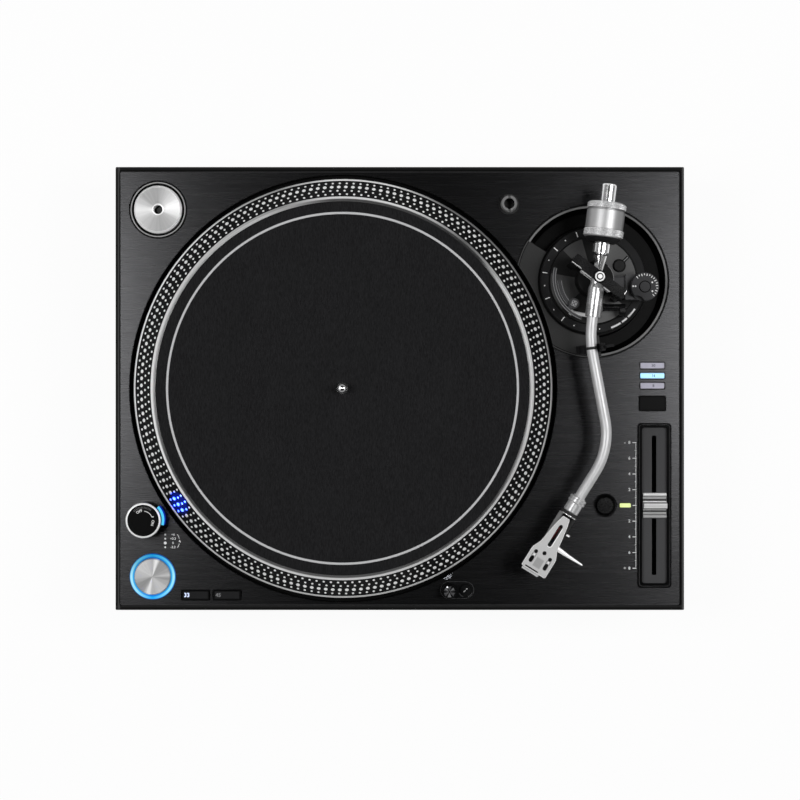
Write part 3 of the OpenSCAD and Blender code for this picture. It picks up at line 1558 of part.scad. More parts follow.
spare_flange_w = 1.7;
spare_flange_t = 1.2;
spare_edge = 0.6;
spare_floor = 2;
spare_notch_h = 2.5;
module spare_headshell_socket() {
  r = spare_d / 2;
  flange_r = r + spare_flange_w;
  flange_top = panel_z + spare_flange_t;
  top = panel_z + spare_rise;
  bore_r = spare_bore_d / 2;
  notch_w = 2;
  color([0.72, 0.72, 0.74])
  translate([spare_x, spare_y, 0]) difference() {
    rotate_extrude() polygon([
      [0, deck_under], [r, deck_under], [r, panel_z], [flange_r, panel_z], [flange_r, flange_top],
      [r, flange_top], [r, top - spare_edge], [r - spare_edge, top], [bore_r, top],
      [bore_r, deck_under + spare_floor], [0, deck_under + spare_floor]
    ]);
    translate([-notch_w / 2, -r - over, top - spare_notch_h])
      cube([notch_w, 2 * r + 2 * over, spare_notch_h + over]);
  }
}

// Inside the body

// Boards under the front corners, with a key switch under each button
left_board_reach = [16, 22];
left_board_room = [4, 3];
right_board_reach = 14;
right_board_past = [20, 16];
range_board_room = 6;
post_in = 5;
right_board_end = fader_x - fader_w / 2 - 1;
left_board_end = left_x + speed_in_x + speed_pitch + left_board_reach[0];
left_board_x = [left_x + wall_t + left_board_room[0], left_board_end];
left_board_y = [front_y + wall_t + left_board_room[1], start_y + left_board_reach[1]];
right_board_x = [reset_x - right_board_reach, right_board_end];
right_board_y = [fader_y - right_board_past[0], range_y + right_board_past[1]];
range_board_x = [right_board_end, right_x - wall_t - range_board_room];
left_board_posts = [for (x = [left_board_x[0] + post_in, left_board_x[1] - post_in])
  [x, left_board_y[1] - post_in]];
right_board_posts = [for (y = [right_board_y[0] + post_in, right_board_y[1] - post_in])
  [right_board_x[0] + post_in, y]];

module board(xs, ys) {
  translate([xs[0], ys[0], board_z]) cube([xs[1] - xs[0], ys[1] - ys[0], board_t]);
}

module key_switch(x, y) {
  translate([x - switch_w / 2, y - switch_w / 2, board_z + board_t]) cube([switch_w, switch_w, switch_h]);
  translate([x, y, board_z + board_t]) cylinder(r = 1.6, h = switch_h + switch_stem_h);
}

module control_boards() {
  color([0.1, 0.35, 0.18]) {
    board(left_board_x, left_board_y);
    key_switch(start_x, start_y);
    for (x = speed_xs) key_switch(x, speed_y + 1);
    board(right_board_x, right_board_y);
    board([range_board_x[0] - over, range_board_x[1]], [range_y - 9, right_board_y[1]]);
    key_switch(reset_x, fader_y);
    key_switch(range_x, range_y);
  }
}

// Laminated core with its winding, and the supply board beside it, on the base floor
supply_from_inlet = 10;
supply_from_rear = 80;
core_w = 52;
core_d = 44;
core_h = 40;
winding_w = 8;
core_foot_w = 12;
core_foot_t = 2;
supply_board_w = 110;
supply_board_d = 70;
supply_board_from = 70;
supply_post_h = 6;
supply_post_r = 3;
supply_post_in = 5;
capacitor_r = 8;
capacitor_h = 22;
capacitor_x = -30;
capacitor_y = 12;
cooler_x = 24;
cooler_w = 6;
cooler_l = 40;
cooler_h = 24;
supply_sink = 0.5;
module power_supply() {
  on_board = supply_post_h + board_t - supply_sink;
  color([0.45, 0.45, 0.47])
  translate([inlet_dx + supply_from_inlet, base_rear_y - supply_from_rear, base_z + base_floor]) {
    translate([-core_w / 2, -core_d / 2, 0]) cube([core_w, core_d, core_h]);
    translate([-core_w / 2 - winding_w, -core_d / 2 + winding_w, winding_w])
      cube([core_w + 2 * winding_w, core_d - 2 * winding_w, core_h - 2 * winding_w]);
    translate([-core_w / 2 - core_foot_w, -core_d / 2, 0])
      cube([core_w + 2 * core_foot_w, core_d, core_foot_t]);
    translate([core_w / 2 + supply_board_from, 0, 0]) {
      translate([-supply_board_w / 2, -supply_board_d / 2, supply_post_h])
        cube([supply_board_w, supply_board_d, board_t]);
      for (x = [-1, 1], y = [-1, 1])
        translate([x * (supply_board_w / 2 - supply_post_in), y * (supply_board_d / 2 - supply_post_in), 0])
          cylinder(r = supply_post_r, h = supply_post_h + supply_sink);
      for (x = [capacitor_x, 0]) translate([x, capacitor_y, on_board])
        cylinder(r = capacitor_r, h = capacitor_h);
      translate([cooler_x, -cooler_l / 2, on_board]) cube([cooler_w, cooler_l, cooler_h]);
    }
  }
}

// Rear sockets

inlet_lip = 2;
inlet_ear = 6;
inlet_pin_l = 9;
module mains_inlet() {
  w = inlet_w + 2 * inlet_wall;
  h = inlet_h + 2 * inlet_wall;
  back = inlet_wall + 1;
  color([0.03, 0.03, 0.033])
  translate([inlet_dx, base_rear_y, socket_z]) {
    difference() {
      union() {
        translate([-w / 2, -inlet_depth - back + inlet_lip, -h / 2]) cube([w, inlet_depth + back, h]);
        translate([-w / 2 - inlet_ear, 0, -h / 2]) cube([w + 2 * inlet_ear, inlet_lip, h]);
      }
      translate([-inlet_w / 2, -inlet_depth + inlet_lip, -inlet_h / 2])
        cube([inlet_w, inlet_depth + over, inlet_h]);
    }
    for (p = [[0, 3.4], [-7, -2.4], [7, -2.4]])
      translate([p[0] - 1, -inlet_depth + inlet_lip - 0.5, p[1] - 2]) cube([2, inlet_pin_l + 0.5, 4]);
  }
}

rear_plate_w = 74;
rear_plate_h = 20;
rear_plate_t = 1.6;
jack_shift = 8;
jack_xs = [jacks_dx - jack_pitch / 2 - jack_shift, jacks_dx + jack_pitch / 2 - jack_shift];
ground_from_jacks = 12;
ground_x = jacks_dx + jack_pitch / 2 + ground_from_jacks;
jack_base_r = 6;

// Y axis of a socket, pointing out of the rear
module out_of_rear(x, from) {
  translate([x, base_rear_y + from, socket_z]) rotate([-90, 0, 0]) children();
}

module rear_plate() {
  color([0.05, 0.05, 0.055])
  difference() {
    translate([jacks_dx - rear_plate_w / 2, base_rear_y, socket_z - rear_plate_h / 2])
      cube([rear_plate_w, rear_plate_t, rear_plate_h]);
    for (x = jack_xs) out_of_rear(x, -over) cylinder(r = jack_base_r + seat_gap, h = rear_plate_t + 2 * over);
    out_of_rear(ground_x, -over) cylinder(r = ground_post_r + seat_gap, h = rear_plate_t + 2 * over);
  }
}

// Two coaxial outputs with a centre hole each, and the ground post beside them
jack_tail = 8;
jack_step = 1;
jack_hole_r = 1.7;
ground_post_r = 2;
ground_post_l = 11;
ground_post_tail = 6;
ground_seat_r = 4.5;
ground_seat_t = 1;
ground_nut_r = 4.6;
ground_nut_t = 6;
module output_terminals() {
  color([0.8, 0.78, 0.7]) {
    for (x = jack_xs) out_of_rear(x, 0) difference() {
      union() {
        translate([0, 0, -jack_tail]) cylinder(r = jack_base_r, h = jack_tail + rear_plate_t + jack_step);
        cylinder(r = jack_d / 2, h = rear_plate_t + jack_step + jack_l);
      }
      translate([0, 0, rear_plate_t + jack_step]) cylinder(r = jack_hole_r, h = jack_l + over);
    }
    out_of_rear(ground_x, 0) {
      translate([0, 0, -ground_post_tail]) cylinder(r = ground_post_r, h = ground_post_tail + ground_post_l);
      translate([0, 0, rear_plate_t]) cylinder(r = ground_seat_r, h = ground_seat_t);
    }
  }
}

module ground_nut() {
  color([0.8, 0.8, 0.82])
  out_of_rear(ground_x, rear_plate_t + ground_seat_t + moving_gap) difference() {
    chamfered_disc(ground_nut_r, ground_nut_t, 0.6);
    translate([0, 0, -over]) cylinder(r = ground_post_r + running_fit, h = ground_nut_t + 2 * over);
  }
}

// Levelling foot: rubber sole, cast body and stud
module foot() {
  r = foot_d / 2;
  color([0.05, 0.05, 0.055])
  rotate_extrude() polygon([
    [0, 0], [r - 6, 0], [r - 4.5, 1.5], [r - 4.5, 5], [r - 1, 6.5], [r, 8], [r, foot_h - 3], [r - 3, foot_h],
    [stud_d / 2, foot_h], [stud_d / 2, foot_h + foot_gap + stud_reach], [0, foot_h + foot_gap + stud_reach]
  ]);
}

module foot_at(i) { translate([foot_places[i][0], foot_places[i][1], 0]) foot(); }
module foot_front_left() { foot_at(0); }
module foot_rear_left() { foot_at(1); }
module foot_front_right() { foot_at(2); }
module foot_rear_right() { foot_at(3); }

cabinet();
top_panel();
base_cover();
base_screws();
arm_base();
arm_rest();
bearing_sleeve();
motor_stator();
control_boards();
power_supply();
strobe_tower();
strobe_lens();
start_light_ring();
indicator_lights();
lamp_plate();
fader_frame();
fader_rail();
spare_headshell_socket();
mains_inlet();
rear_plate();
output_terminals();
platter();
spindle();
rotor_magnet();
slipmat();
height_dial();
arm_column();
gimbal_bridge();
skate_housing();
swing_frame();
arm_pivot_block();
arm_rear_shaft();
arm_tube();
weight_sleeve();
counterweight();
force_dial();
locking_collar();
headshell();
finger_lift();
headshell_leads();
arm_lifter();
cue_lever();
height_lock_lever();
skate_knob();
arm_clamp();
power_knob();
start_stop_button();
button_33();
button_45();
reset_button();
range_button();
tempo_fader();
stylus_lamp();
lamp_button();
record_adapter();
foot_front_left();
foot_rear_left();
foot_front_right();
foot_rear_right();
ground_nut();
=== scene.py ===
"""Looks of the DJ turntable: materials, marks, felt mat, lamps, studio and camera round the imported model."""
import math

import bpy
from mathutils import Matrix, Vector, noise


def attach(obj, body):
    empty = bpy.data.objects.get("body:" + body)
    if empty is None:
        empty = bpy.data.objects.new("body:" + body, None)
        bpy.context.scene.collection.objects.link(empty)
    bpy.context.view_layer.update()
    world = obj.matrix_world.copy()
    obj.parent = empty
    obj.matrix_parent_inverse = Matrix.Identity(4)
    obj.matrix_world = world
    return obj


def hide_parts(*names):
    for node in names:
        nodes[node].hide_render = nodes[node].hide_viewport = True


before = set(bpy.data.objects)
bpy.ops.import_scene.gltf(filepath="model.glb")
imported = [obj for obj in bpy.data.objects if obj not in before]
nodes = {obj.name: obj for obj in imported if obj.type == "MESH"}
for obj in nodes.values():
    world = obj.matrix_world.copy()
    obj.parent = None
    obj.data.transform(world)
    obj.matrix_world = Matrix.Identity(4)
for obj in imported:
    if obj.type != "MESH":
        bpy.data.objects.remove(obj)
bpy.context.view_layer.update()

MM = 0.001

# Places and heights from the model, in millimetres and degrees
PANEL_Z = 100.0
PLATTER = (-45.0, 0.0)
PIVOT = (153.0, 85.3, 139.0)
ARM_BACK = 82.63
BRIDGE_TURN = -37.0
TOWER = (-201.5, -103.8)
START = (-196.5, -149.5)
LAMP = (39.1, -160.3)
LAMP_BUTTON = (52.2, -160.3)
FADER = (202.5, -93.0)
FADER_TRAVEL = 100.0
RANGE_X = 200.9
RANGE_Y = -11.9
RANGE_LIGHT_Y = (2.2, 10.2, 18.2)
SPEED_X = (-162.4, -137.4)
SPEED_Y = -164.3
SKATE = (191.2, 79.3)
ADAPTER = (-192.3, 142.3)
SPARE = (86.7, 146.5)
PLATE_BOSS = (173.4, 97.0)
HEAD = (130.4016, -98.0661, 139.0)
HEAD_TURN = 238.03
REST = (148.521, 30.872, 139.0)
REST_TURN = 276.43
KEY_TOP = 101.3
RANGE_LIGHT_TOP = 100.2
FADER_CREST = 100.8
LAMP_PLATE_TOP = 100.4
LAMP_TOP = 114.0
KNOB_TOP = 118.8
PLATE_TOP = 108.5
DIAL_TOP = 106.8
SKATE_TOP = 127.5
BRIDGE_TOP = 153.8
FRAME_TOP = 149.5
PEDESTAL_TOP = 127.9
LIFTER_BOSS_TOP = 131.15
RAIL_TOP = 132.45
INNER_ARC_TOP = 129.35

LYING = Matrix.Rotation(math.pi / 2, 4, "Y")


def metres(point):
    return tuple(c * MM for c in point)


def placed(at, turn=0.0):
    """A place with X turned about Z, in degrees."""
    return Matrix.Translation(Vector(at)) @ Matrix.Rotation(math.radians(turn), 4, "Z")


def over_pivot(z, turn=0.0):
    """A place on the arm's upright axis."""
    return placed((*PIVOT[:2], z), turn)


def shifted(place, x, y=0.0):
    return place @ Matrix.Translation((x, y, 0))


def on_circle(r, angle, centre=(0.0, 0.0)):
    """A point of a circle, at an angle in radians."""
    return centre[0] + r * math.cos(angle), centre[1] + r * math.sin(angle)


def full_turn(steps):
    return [2 * math.pi * i / steps for i in range(steps)]


# Materials

def add_node(tree, kind, inputs=None, **attributes):
    """A shader node, whose inputs are links where they are sockets and constants elsewhere."""
    made = tree.nodes.new("ShaderNode" + kind)
    for key, value in attributes.items():
        setattr(made, key, value)
    for key, value in (inputs or {}).items():
        if isinstance(value, bpy.types.NodeSocket):
            tree.links.new(value, made.inputs[key])
        else:
            made.inputs[key].default_value = value
    return made


def set_stops(ramp, stops):
    """Stops of a colour ramp: a place from 0 to 1, with a grey level or a colour."""
    while len(ramp.elements) < len(stops):
        ramp.elements.new(0.5)
    for element, (at, value) in zip(ramp.elements, stops):
        element.position = at
        element.color = (*value, 1) if isinstance(value, tuple) else (value, value, value, 1)


class Finish:
    """A node material on one Principled shader, sized in millimetres in the part's own frame."""

    def __init__(self, name, color=(0.5, 0.5, 0.5), **sockets):
        self.material = bpy.data.materials.new(name)
        self.material.use_nodes = True
        self.tree = self.material.node_tree
        self.shader = self.tree.nodes["Principled BSDF"]
        self.shader.inputs["Base Color"].default_value = (*color, 1)
        for socket, value in sockets.items():
            self.shader.inputs[socket.replace("_", " ")].default_value = value
        self.spots = self.node("TexCoord").outputs["Object"]
        self.normal = None

    def node(self, kind, inputs=None, **attributes):
        return add_node(self.tree, kind, inputs, **attributes)

    def feed(self, socket, source):
        self.tree.links.new(source, self.shader.inputs[socket])

    def coords(self, size=(1, 1, 1), at=(0, 0, 0), turn=0.0):
        """Object coordinates about a point, counted in sizes."""
        inputs = {"Vector": self.spots, "Location": metres((*at, 0)[:3]), "Scale": metres(size),
                  "Rotation": (0, 0, math.radians(turn))}
        return self.node("Mapping", inputs, vector_type="TEXTURE").outputs["Vector"]

    def noise(self, size, detail=2.0, roughness=0.5, at=(0, 0, 0), turn=0.0):
        inputs = {"Vector": self.coords(size, at, turn), "Scale": 1.0, "Detail": detail,
                  "Roughness": roughness}
        return self.node("TexNoise", inputs).outputs["Fac"]

    def grain(self, size):
        """Fine noise that is alike in all directions."""
        return self.noise((size, size, size), detail=3)

    def waves(self, source, scale, detail=3.0):
        """Random levels along one coordinate."""
        inputs = {"W": source, "Scale": scale, "Detail": detail}
        return self.node("TexNoise", inputs, noise_dimensions="1D").outputs["Fac"]

    def radius(self, at):
        """Distance from an upright axis, in millimetres."""
        return self.node("VectorMath", {0: self.coords((1, 1, 1e9), at)}, operation="LENGTH").outputs["Value"]

    def axis(self, which, at=(0, 0, 0), turn=0.0):
        """One coordinate about a point, in millimetres."""
        return self.node("SeparateXYZ", {0: self.coords((1, 1, 1), at, turn)}).outputs[which]

    def angle(self, at):
        """Turn about an upright axis, from 0 to 1, with 0.5 along +X."""
        inputs = {"Vector": self.coords((1, 1, 1), at)}
        return self.node("TexGradient", inputs, gradient_type="RADIAL").outputs["Fac"]

    def ramp(self, source, low, high, stops, kind="LINEAR"):
        """Colours or levels at points between low and high."""
        spread = self.node("MapRange", {"Value": source, "From Min": low, "From Max": high})
        made = self.node("ValToRGB", {"Fac": spread.outputs["Result"]})
        made.color_ramp.interpolation = kind
        set_stops(made.color_ramp, [((at - low) / (high - low), value) for at, value in stops])
        return made.outputs["Color"]

    def steps(self, source, low, high, stops):
        """Colours or levels that jump at points between low and high."""
        return self.ramp(source, low, high, stops, "CONSTANT")

    def wander(self, source, low, high):
        """A level or a colour that follows a noise."""
        return self.ramp(source, 0, 1, [(0.3, low), (0.7, high)])

    def tint(self, source, base, spread):
        """A colour that a noise makes darker and lighter by a share."""
        dark, light = (tuple(c * share for c in base) for share in (1 - spread, 1 + spread))
        return self.wander(source, dark, light)

    def mix(self, share, first, second, blend="MIX"):
        inputs = {0: share, 6: first, 7: second}
        return self.node("Mix", inputs, data_type="RGBA", blend_type=blend).outputs[2]

    def times(self, first, second):
        """Product of two colour fields."""
        return self.mix(1.0, first, second, "MULTIPLY")

    def lighter(self, first, second):
        """The lighter of two colour fields."""
        return self.mix(1.0, first, second, "LIGHTEN")

    def bump(self, height, depth, strength=1.0):
        """Relief whose depth is in millimetres; later calls add to earlier ones."""
        inputs = {"Height": height, "Strength": strength, "Distance": depth * MM}
        if self.normal is not None:
            inputs["Normal"] = self.normal
        self.normal = self.node("Bump", inputs).outputs["Normal"]
        self.feed("Normal", self.normal)

    def spun(self, along):
        """Brushing in circles about Z, or in lines when along is X or Y."""
        made = self.node("Tangent", direction_type="RADIAL", axis=along)
        self.feed("Tangent", made.outputs["Tangent"])

    def done(self, color, rough, grain, depth, soft=None):
        """The material, with relief from its grain, which may also carry roughness and darken colour."""
        if soft is not None:
            color = self.times(color, self.wander(grain, soft, 1.0))
        self.feed("Base Color", color)
        self.feed("Roughness", self.wander(grain, *rough) if isinstance(rough, tuple) else rough)
        self.bump(grain, depth)
        return self.material


def grained(name, base, roughness, size=0.35, depth=0.03, spread=0.25, gloss=0.5):
    """Moulded plastic or sprayed paint: fine grain, with roughness that wanders a little."""
    coat = Finish(name, base, Specular_IOR_Level=gloss)
    grain = coat.grain(size)
    patch = coat.noise((30, 30, 30), at=(7, 3, 1))
    rough = coat.wander(patch, roughness - 0.06, roughness + 0.06)
    return coat.done(coat.tint(grain, base, spread), rough, grain, depth)


def metal(name, base, roughness, size=(0.4, 0.4, 0.4), depth=0.004, mirror=1.0, spread=0.06):
    """Machined or plated metal whose tool lines run along the longest size."""
    coat = Finish(name, base, Metallic=mirror)
    lines = coat.noise(size, detail=3)
    patch = coat.noise((18, 18, 18), at=(5, 2, 9))
    rough = coat.wander(patch, roughness - 0.04, roughness + 0.05)
    return coat.done(coat.tint(lines, base, spread), rough, lines, depth)


def hairline_panel():
    """Black anodised sheet, brushed from left to right."""
    coat = Finish("panel_hairline", (0.042, 0.042, 0.0435), Metallic=1.0, Anisotropic=0.45)
    fine = coat.noise((14, 0.25, 4), detail=3, roughness=0.6)
    broad = coat.noise((45, 1.1, 8), detail=3, roughness=0.55, at=(11, 5, 0))
    dim = coat.wander(fine, (0.024, 0.024, 0.025), (0.048, 0.048, 0.0497))
    bright = coat.wander(fine, (0.038, 0.038, 0.0393), (0.066, 0.066, 0.0682))
    coat.spun("X")
    return coat.done(coat.mix(broad, dim, bright), coat.wander(broad, 0.255, 0.285), fine, 0.002)


CASE_BLACK = 0.003
# Painted highlights along the case's top edges, lighter at its left and right sides than at front and rear
EDGE_HIGHLIGHTS = (("X", 223.9, 225.2, 0.055, 0.065), ("Y", 174.2, 175.5, 0.018, 0.011))
WELL_RING = (20.8, 21.8)
# Painted highlight a little off the middle of the adapter's well
WELL_SHINE_R = 2.4
CASE_TOP = 93.5


def cabinet_paint():
    """Satin black case: light lines along its top edges and a light spot in the adapter's well that are
    painted highlights, grey ring round the adapter's well.
    """
    coat = Finish("cabinet_paint", (0.003, 0.003, 0.0032), Specular_IOR_Level=0.05)
    # Painted highlight in the adapter's well, off its middle
    shine = [(0, 0.08), (WELL_SHINE_R, CASE_BLACK)]
    marks = coat.steps(coat.radius((ADAPTER[0] + 0.8, ADAPTER[1])), 0, 40, shine)
    ring = [(0, CASE_BLACK), (WELL_RING[0], 0.36), (WELL_RING[1], CASE_BLACK)]
    marks = coat.lighter(marks, coat.steps(coat.radius(ADAPTER), 0, 40, ring))
    # The light lines along the top edges are painted highlights
    for which, inner, outer, first, second in EDGE_HIGHLIGHTS:
        line = [(-230, CASE_BLACK), (-outer, first), (-inner, CASE_BLACK), (inner, second),
                (outer, CASE_BLACK)]
        marks = coat.lighter(marks, coat.steps(coat.axis(which), -230, 230, line))
    z = coat.axis("Z")
    top = coat.steps(z, 80, 110, [(80, 0.0), (CASE_TOP, 1.0)])
    plain = coat.ramp(z, 0, 200, [(0, CASE_BLACK), (200, CASE_BLACK)])
    return coat.done(coat.mix(top, plain, marks), (0.44, 0.56), coat.grain(0.35), 0.012, soft=0.8)


# Painted reflections on the lip's inner and outer slopes and on the bead, lighter and darker by turn about the
# platter
LIP_INNER_PAINTED_LIGHT = [(0.0, 0.6), (0.06, 0.16), (0.4, 0.14), (0.48, 0.75), (0.59, 0.9), (0.62, 0.07),
                  (0.76, 0.12), (0.82, 0.8), (1.0, 0.6)]
LIP_OUTER_PAINTED_LIGHT = [(0.0, 0.74), (0.25, 0.72), (0.42, 0.34), (0.5, 0.3), (0.58, 0.42), (0.64, 0.13),
                  (0.7, 0.84), (0.76, 0.84), (0.8, 0.34), (0.87, 0.6), (1.0, 0.74)]
BEAD_PAINTED_LIGHT = [(0.0, 0.62), (0.4, 0.55), (0.5, 0.4), (0.62, 0.2), (0.67, 0.2), (0.71, 0.85), (0.76, 0.85),
             (0.8, 0.34), (0.88, 0.8), (1.0, 0.62)]
RIM_SPAN = (140, 170)
BEVEL_BLACK = (150.5, 164.5)


def platter_metal():
    """Turned platter: bright lip and bead with light rays from their tool lines painted into the colour by
    turn, black bevel between them.
    """
    coat = Finish("platter_turned", (0.9, 0.9, 0.9), Specular_IOR_Level=0.08)
    r, turn = coat.radius(PLATTER), coat.angle(PLATTER)
    lines = coat.waves(r, 2.2)
    # Painted reflections by turn, for the lip's two slopes and the bead
    inner, outer, bead = (coat.ramp(turn, 0, 1, rays) for rays in (LIP_INNER_PAINTED_LIGHT, LIP_OUTER_PAINTED_LIGHT, BEAD_PAINTED_LIGHT))
    lip = coat.mix(coat.ramp(r, *RIM_SPAN, [(148.6, 0.0), (149.2, 1.0)]), inner, outer)
    silver = coat.mix(coat.steps(r, *RIM_SPAN, [(140, 0.0), (157, 1.0)]), lip, bead)
    silver = coat.times(silver, coat.wander(lines, 0.92, 1.0))
    black = coat.tint(coat.grain(0.6), (0.005, 0.005, 0.0053), 0.5)
    low, high = BEVEL_BLACK
    bevel, mirror, rough = (coat.steps(r, *RIM_SPAN, [(140, bare), (low, painted), (high, bare)])
                            for bare, painted in ((0.0, 1.0), (0.3, 0.0), (0.33, 0.6)))
    coat.feed("Metallic", mirror)
    return coat.done(coat.mix(bevel, silver, black), rough, lines, 0.003)


# Painted reflections of the turned faces, lighter and darker by turn about their middles
START_PAINTED_RAYS = [(0.0, 0.5), (0.08, 0.36), (0.16, 0.42), (0.195, 1.0), (0.22, 0.95), (0.25, 0.5), (0.36, 0.5),
              (0.47, 0.34), (0.52, 0.55), (0.6, 0.42), (0.675, 0.4), (0.7, 1.0), (0.72, 0.95), (0.745, 0.52),
              (0.86, 0.5), (1.0, 0.5)]
ADAPTER_PAINTED_RAYS = [(0.0, 0.72), (0.04, 0.64), (0.1, 0.5), (0.25, 0.44), (0.4, 0.52), (0.46, 0.7), (0.52, 0.74),
                (0.6, 0.5), (0.75, 0.38), (0.9, 0.5), (0.97, 0.66), (1.0, 0.72)]
NO_RIM_HIGHLIGHTS = ((0, 0.0), (40, 0.0))
# White rims at the bore and the outer edge: painted highlights
ADAPTER_RIM_HIGHLIGHTS = ((0, 0.9), (4.3, 0.9), (4.9, 0.0), (17.3, 0.0), (17.7, 1.0), (40, 1.0))


def spun_disc(name, at, rays, rims):
    """Face turned on a lathe: circular tool lines that throw light in rays, with more such rays painted into
    the colour by turn, and white rims that are painted highlights.
    """
    coat = Finish(name, Metallic=0.35, Anisotropic=0.6, Anisotropic_Rotation=0.25)
    r, turn = coat.radius(at), coat.angle(at)
    sector = coat.waves(turn, 30.0)
    # Painted reflections by turn
    face = coat.times(coat.ramp(turn, 0, 1, rays), coat.wander(sector, 0.84, 1.0))
    color = coat.mix(coat.ramp(r, 0, 40, rims), face, coat.wander(sector, 0.94, 1.0))
    coat.spun("Z")
    return coat.done(color, coat.wander(sector, 0.33, 0.46), coat.waves(r, 3.2, 4.0), 0.006)


PRINTED_RING = [(130, 0.0), (136.7, 0.0), (137.0, 1.0), (138.4, 1.0), (138.7, 0.0), (144, 0.0)]


def felt_cloth():
    """Pressed felt with an upright nap and a printed ring."""
    coat = Finish("felt", (0.012, 0.012, 0.013), Roughness=1.0, Sheen_Weight=0.12, Sheen_Roughness=0.5,
                    Specular_IOR_Level=0.1)
    nap = coat.noise((0.55, 3.2, 1.0), detail=4, roughness=0.7)
    tuft = coat.noise((0.35, 0.35, 0.35), detail=3, roughness=0.7, at=(3, 8, 2))
    cloud = coat.noise((26, 34, 20), detail=3, at=(2, 6, 4))
    dark = coat.ramp(nap, 0, 1, [(0.3, (0.004, 0.004, 0.0043)), (0.72, (0.017, 0.017, 0.018))])
    light = coat.ramp(nap, 0, 1, [(0.3, (0.006, 0.006, 0.0064)), (0.72, (0.022, 0.022, 0.0235))])
    ink = coat.ramp(tuft, 0, 1, [(0.25, (0.4, 0.4, 0.405)), (0.7, (0.66, 0.66, 0.67))])
    printed = coat.ramp(coat.radius(PLATTER), 130, 144, PRINTED_RING)
    coat.feed("Base Color", coat.mix(printed, coat.mix(cloud, dark, light), ink))
    coat.bump(nap, 0.12, 0.7)
    coat.bump(tuft, 0.08, 0.6)
    return coat.material


def lit(name, color, glow):
    """Lamp cover: translucent plastic with light behind it, uneven as a real diffuser is."""
    coat = Finish(name, color, Roughness=0.35, Emission_Strength=1.0)
    cloud = coat.noise((6, 6, 6))
    coat.feed("Base Color", coat.tint(cloud, color, 0.08))
    coat.feed("Emission Color", coat.tint(cloud, glow, 0.12))
    return coat.material


def dark_cover(name, color):
    """Dark lamp cover, whose light is still to be fed."""
    coat = Finish(name, color, Roughness=0.3, Emission_Strength=1.0, Specular_IOR_Level=0.15)
    coat.feed("Roughness", coat.wander(coat.noise((4, 4, 4)), 0.25, 0.4))
    return coat


RING_BY_TURN = [(0.0, (0.42, 0.84, 1.0)), (0.12, (0.34, 0.8, 1.0)), (0.25, (0.0, 0.42, 0.95)),
                (0.38, (0.25, 0.75, 1.0)), (0.5, (0.38, 0.86, 1.0)), (0.62, (0.1, 0.55, 0.86)),
                (0.75, (0.0, 0.29, 0.62)), (0.88, (0.12, 0.48, 0.66)), (1.0, (0.42, 0.84, 1.0))]
RING_BY_RADIUS = [(14.4, (0.0, 0.3, 0.7)), (15.5, (0.1, 0.5, 0.8)), (16.2, (1.0, 1.0, 1.0)),
                  (17.5, (1.0, 1.0, 1.0)), (17.9, (0.1, 0.3, 0.6)), (18.4, (0.0, 0.02, 0.35))]


def lit_ring():
    """Ring lamp round the start button: pale at both sides, blue at front and rear and along its edges."""
    coat = dark_cover("start_glow", (0.0, 0.008, 0.02))
    by_turn = coat.ramp(coat.angle(START), 0, 1, RING_BY_TURN)
    by_radius = coat.ramp(coat.radius(START), 14.4, 18.4, RING_BY_RADIUS)
    coat.feed("Emission Color", coat.times(by_turn, by_radius))
    return coat.material


STROBE_BY_HEIGHT = [(100, (0.0, 0.005, 0.12)), (108, (0.0, 0.02, 0.4)), (110.6, (0.0, 0.08, 0.65)),
                    (111.0, (0.1, 0.66, 1.0))]


def strobe_window():
    """Window of the strobe lamp: cyan on top, deep blue down its side."""
    coat = dark_cover("strobe_glow", (0.0, 0.008, 0.03))
    coat.feed("Emission Color", coat.ramp(coat.axis("Z"), 100, 112, STROBE_BY_HEIGHT))
    return coat.material


def indicator_lens():
    """Range lights and the lock light in one moulding: pale, but lit at two of its windows."""
    coat = Finish("indicator_windows", (0.45, 0.44, 0.53), Roughness=0.4, Emission_Strength=1.0)
    coat.feed("Base Color", coat.tint(coat.noise((5, 5, 5)), (0.42, 0.41, 0.5), 0.06))
    dark, green, blue, cyan = (0.0, 0.0, 0.0), (0.5, 0.62, 0.02), (0.0, 0.2, 0.5), (0.2, 0.78, 1.0)
    middle = RANGE_LIGHT_Y[1]
    windows = [(-200, green), (-51, green), (-50, dark), (middle - 2.4, dark), (middle - 2.2, blue),
               (middle - 0.9, cyan), (middle + 0.9, cyan), (middle + 2.2, blue), (middle + 2.4, dark),
               (40, dark)]
    coat.feed("Emission Color", coat.ramp(coat.axis("Y"), -200, 40, windows))
    return coat.material


MOAT_TURNS = (0.2694, 0.908)


def arm_base_paint():
    """Arm base: black moat inside a grey ring line that is a painted highlight on its rim, dark grey satin on
    the flush part beside the platter, with a fainter painted highlight line at its rim.
    """
    coat = Finish("arm_base_paint", (0.01, 0.01, 0.01), Specular_IOR_Level=0.06)
    r, turn = coat.radius(PIVOT), coat.angle(PIVOT)
    first, last = MOAT_TURNS
    # The grey line at the moat's rim and the light line at the flush part's rim are painted highlights
    moat = coat.steps(r, 40, 62, [(40, 0.002), (58.3, 0.22), (59.8, 0.002)])
    flush = coat.steps(r, 40, 62, [(40, 0.002), (43.2, 0.041), (59.0, 0.002), (59.7, 0.075), (60.5, 0.002)])
    side = coat.steps(turn, 0, 1, [(0, 0.0), (first, 1.0), (last, 0.0)])
    rough = coat.steps(turn, 0, 1, [(0, 0.5), (first, 0.42), (last, 0.5)])
    return coat.done(coat.mix(side, flush, moat), rough, coat.grain(0.3), 0.01, soft=0.8)


PLATE_FIELDS = [(0, 0.055), (0.117, 0.012), (0.256, 0.14), (0.389, 0.008), (0.522, 0.125), (0.717, 0.008),
                (0.792, 0.06), (0.875, 0.01), (0.97, 0.055)]


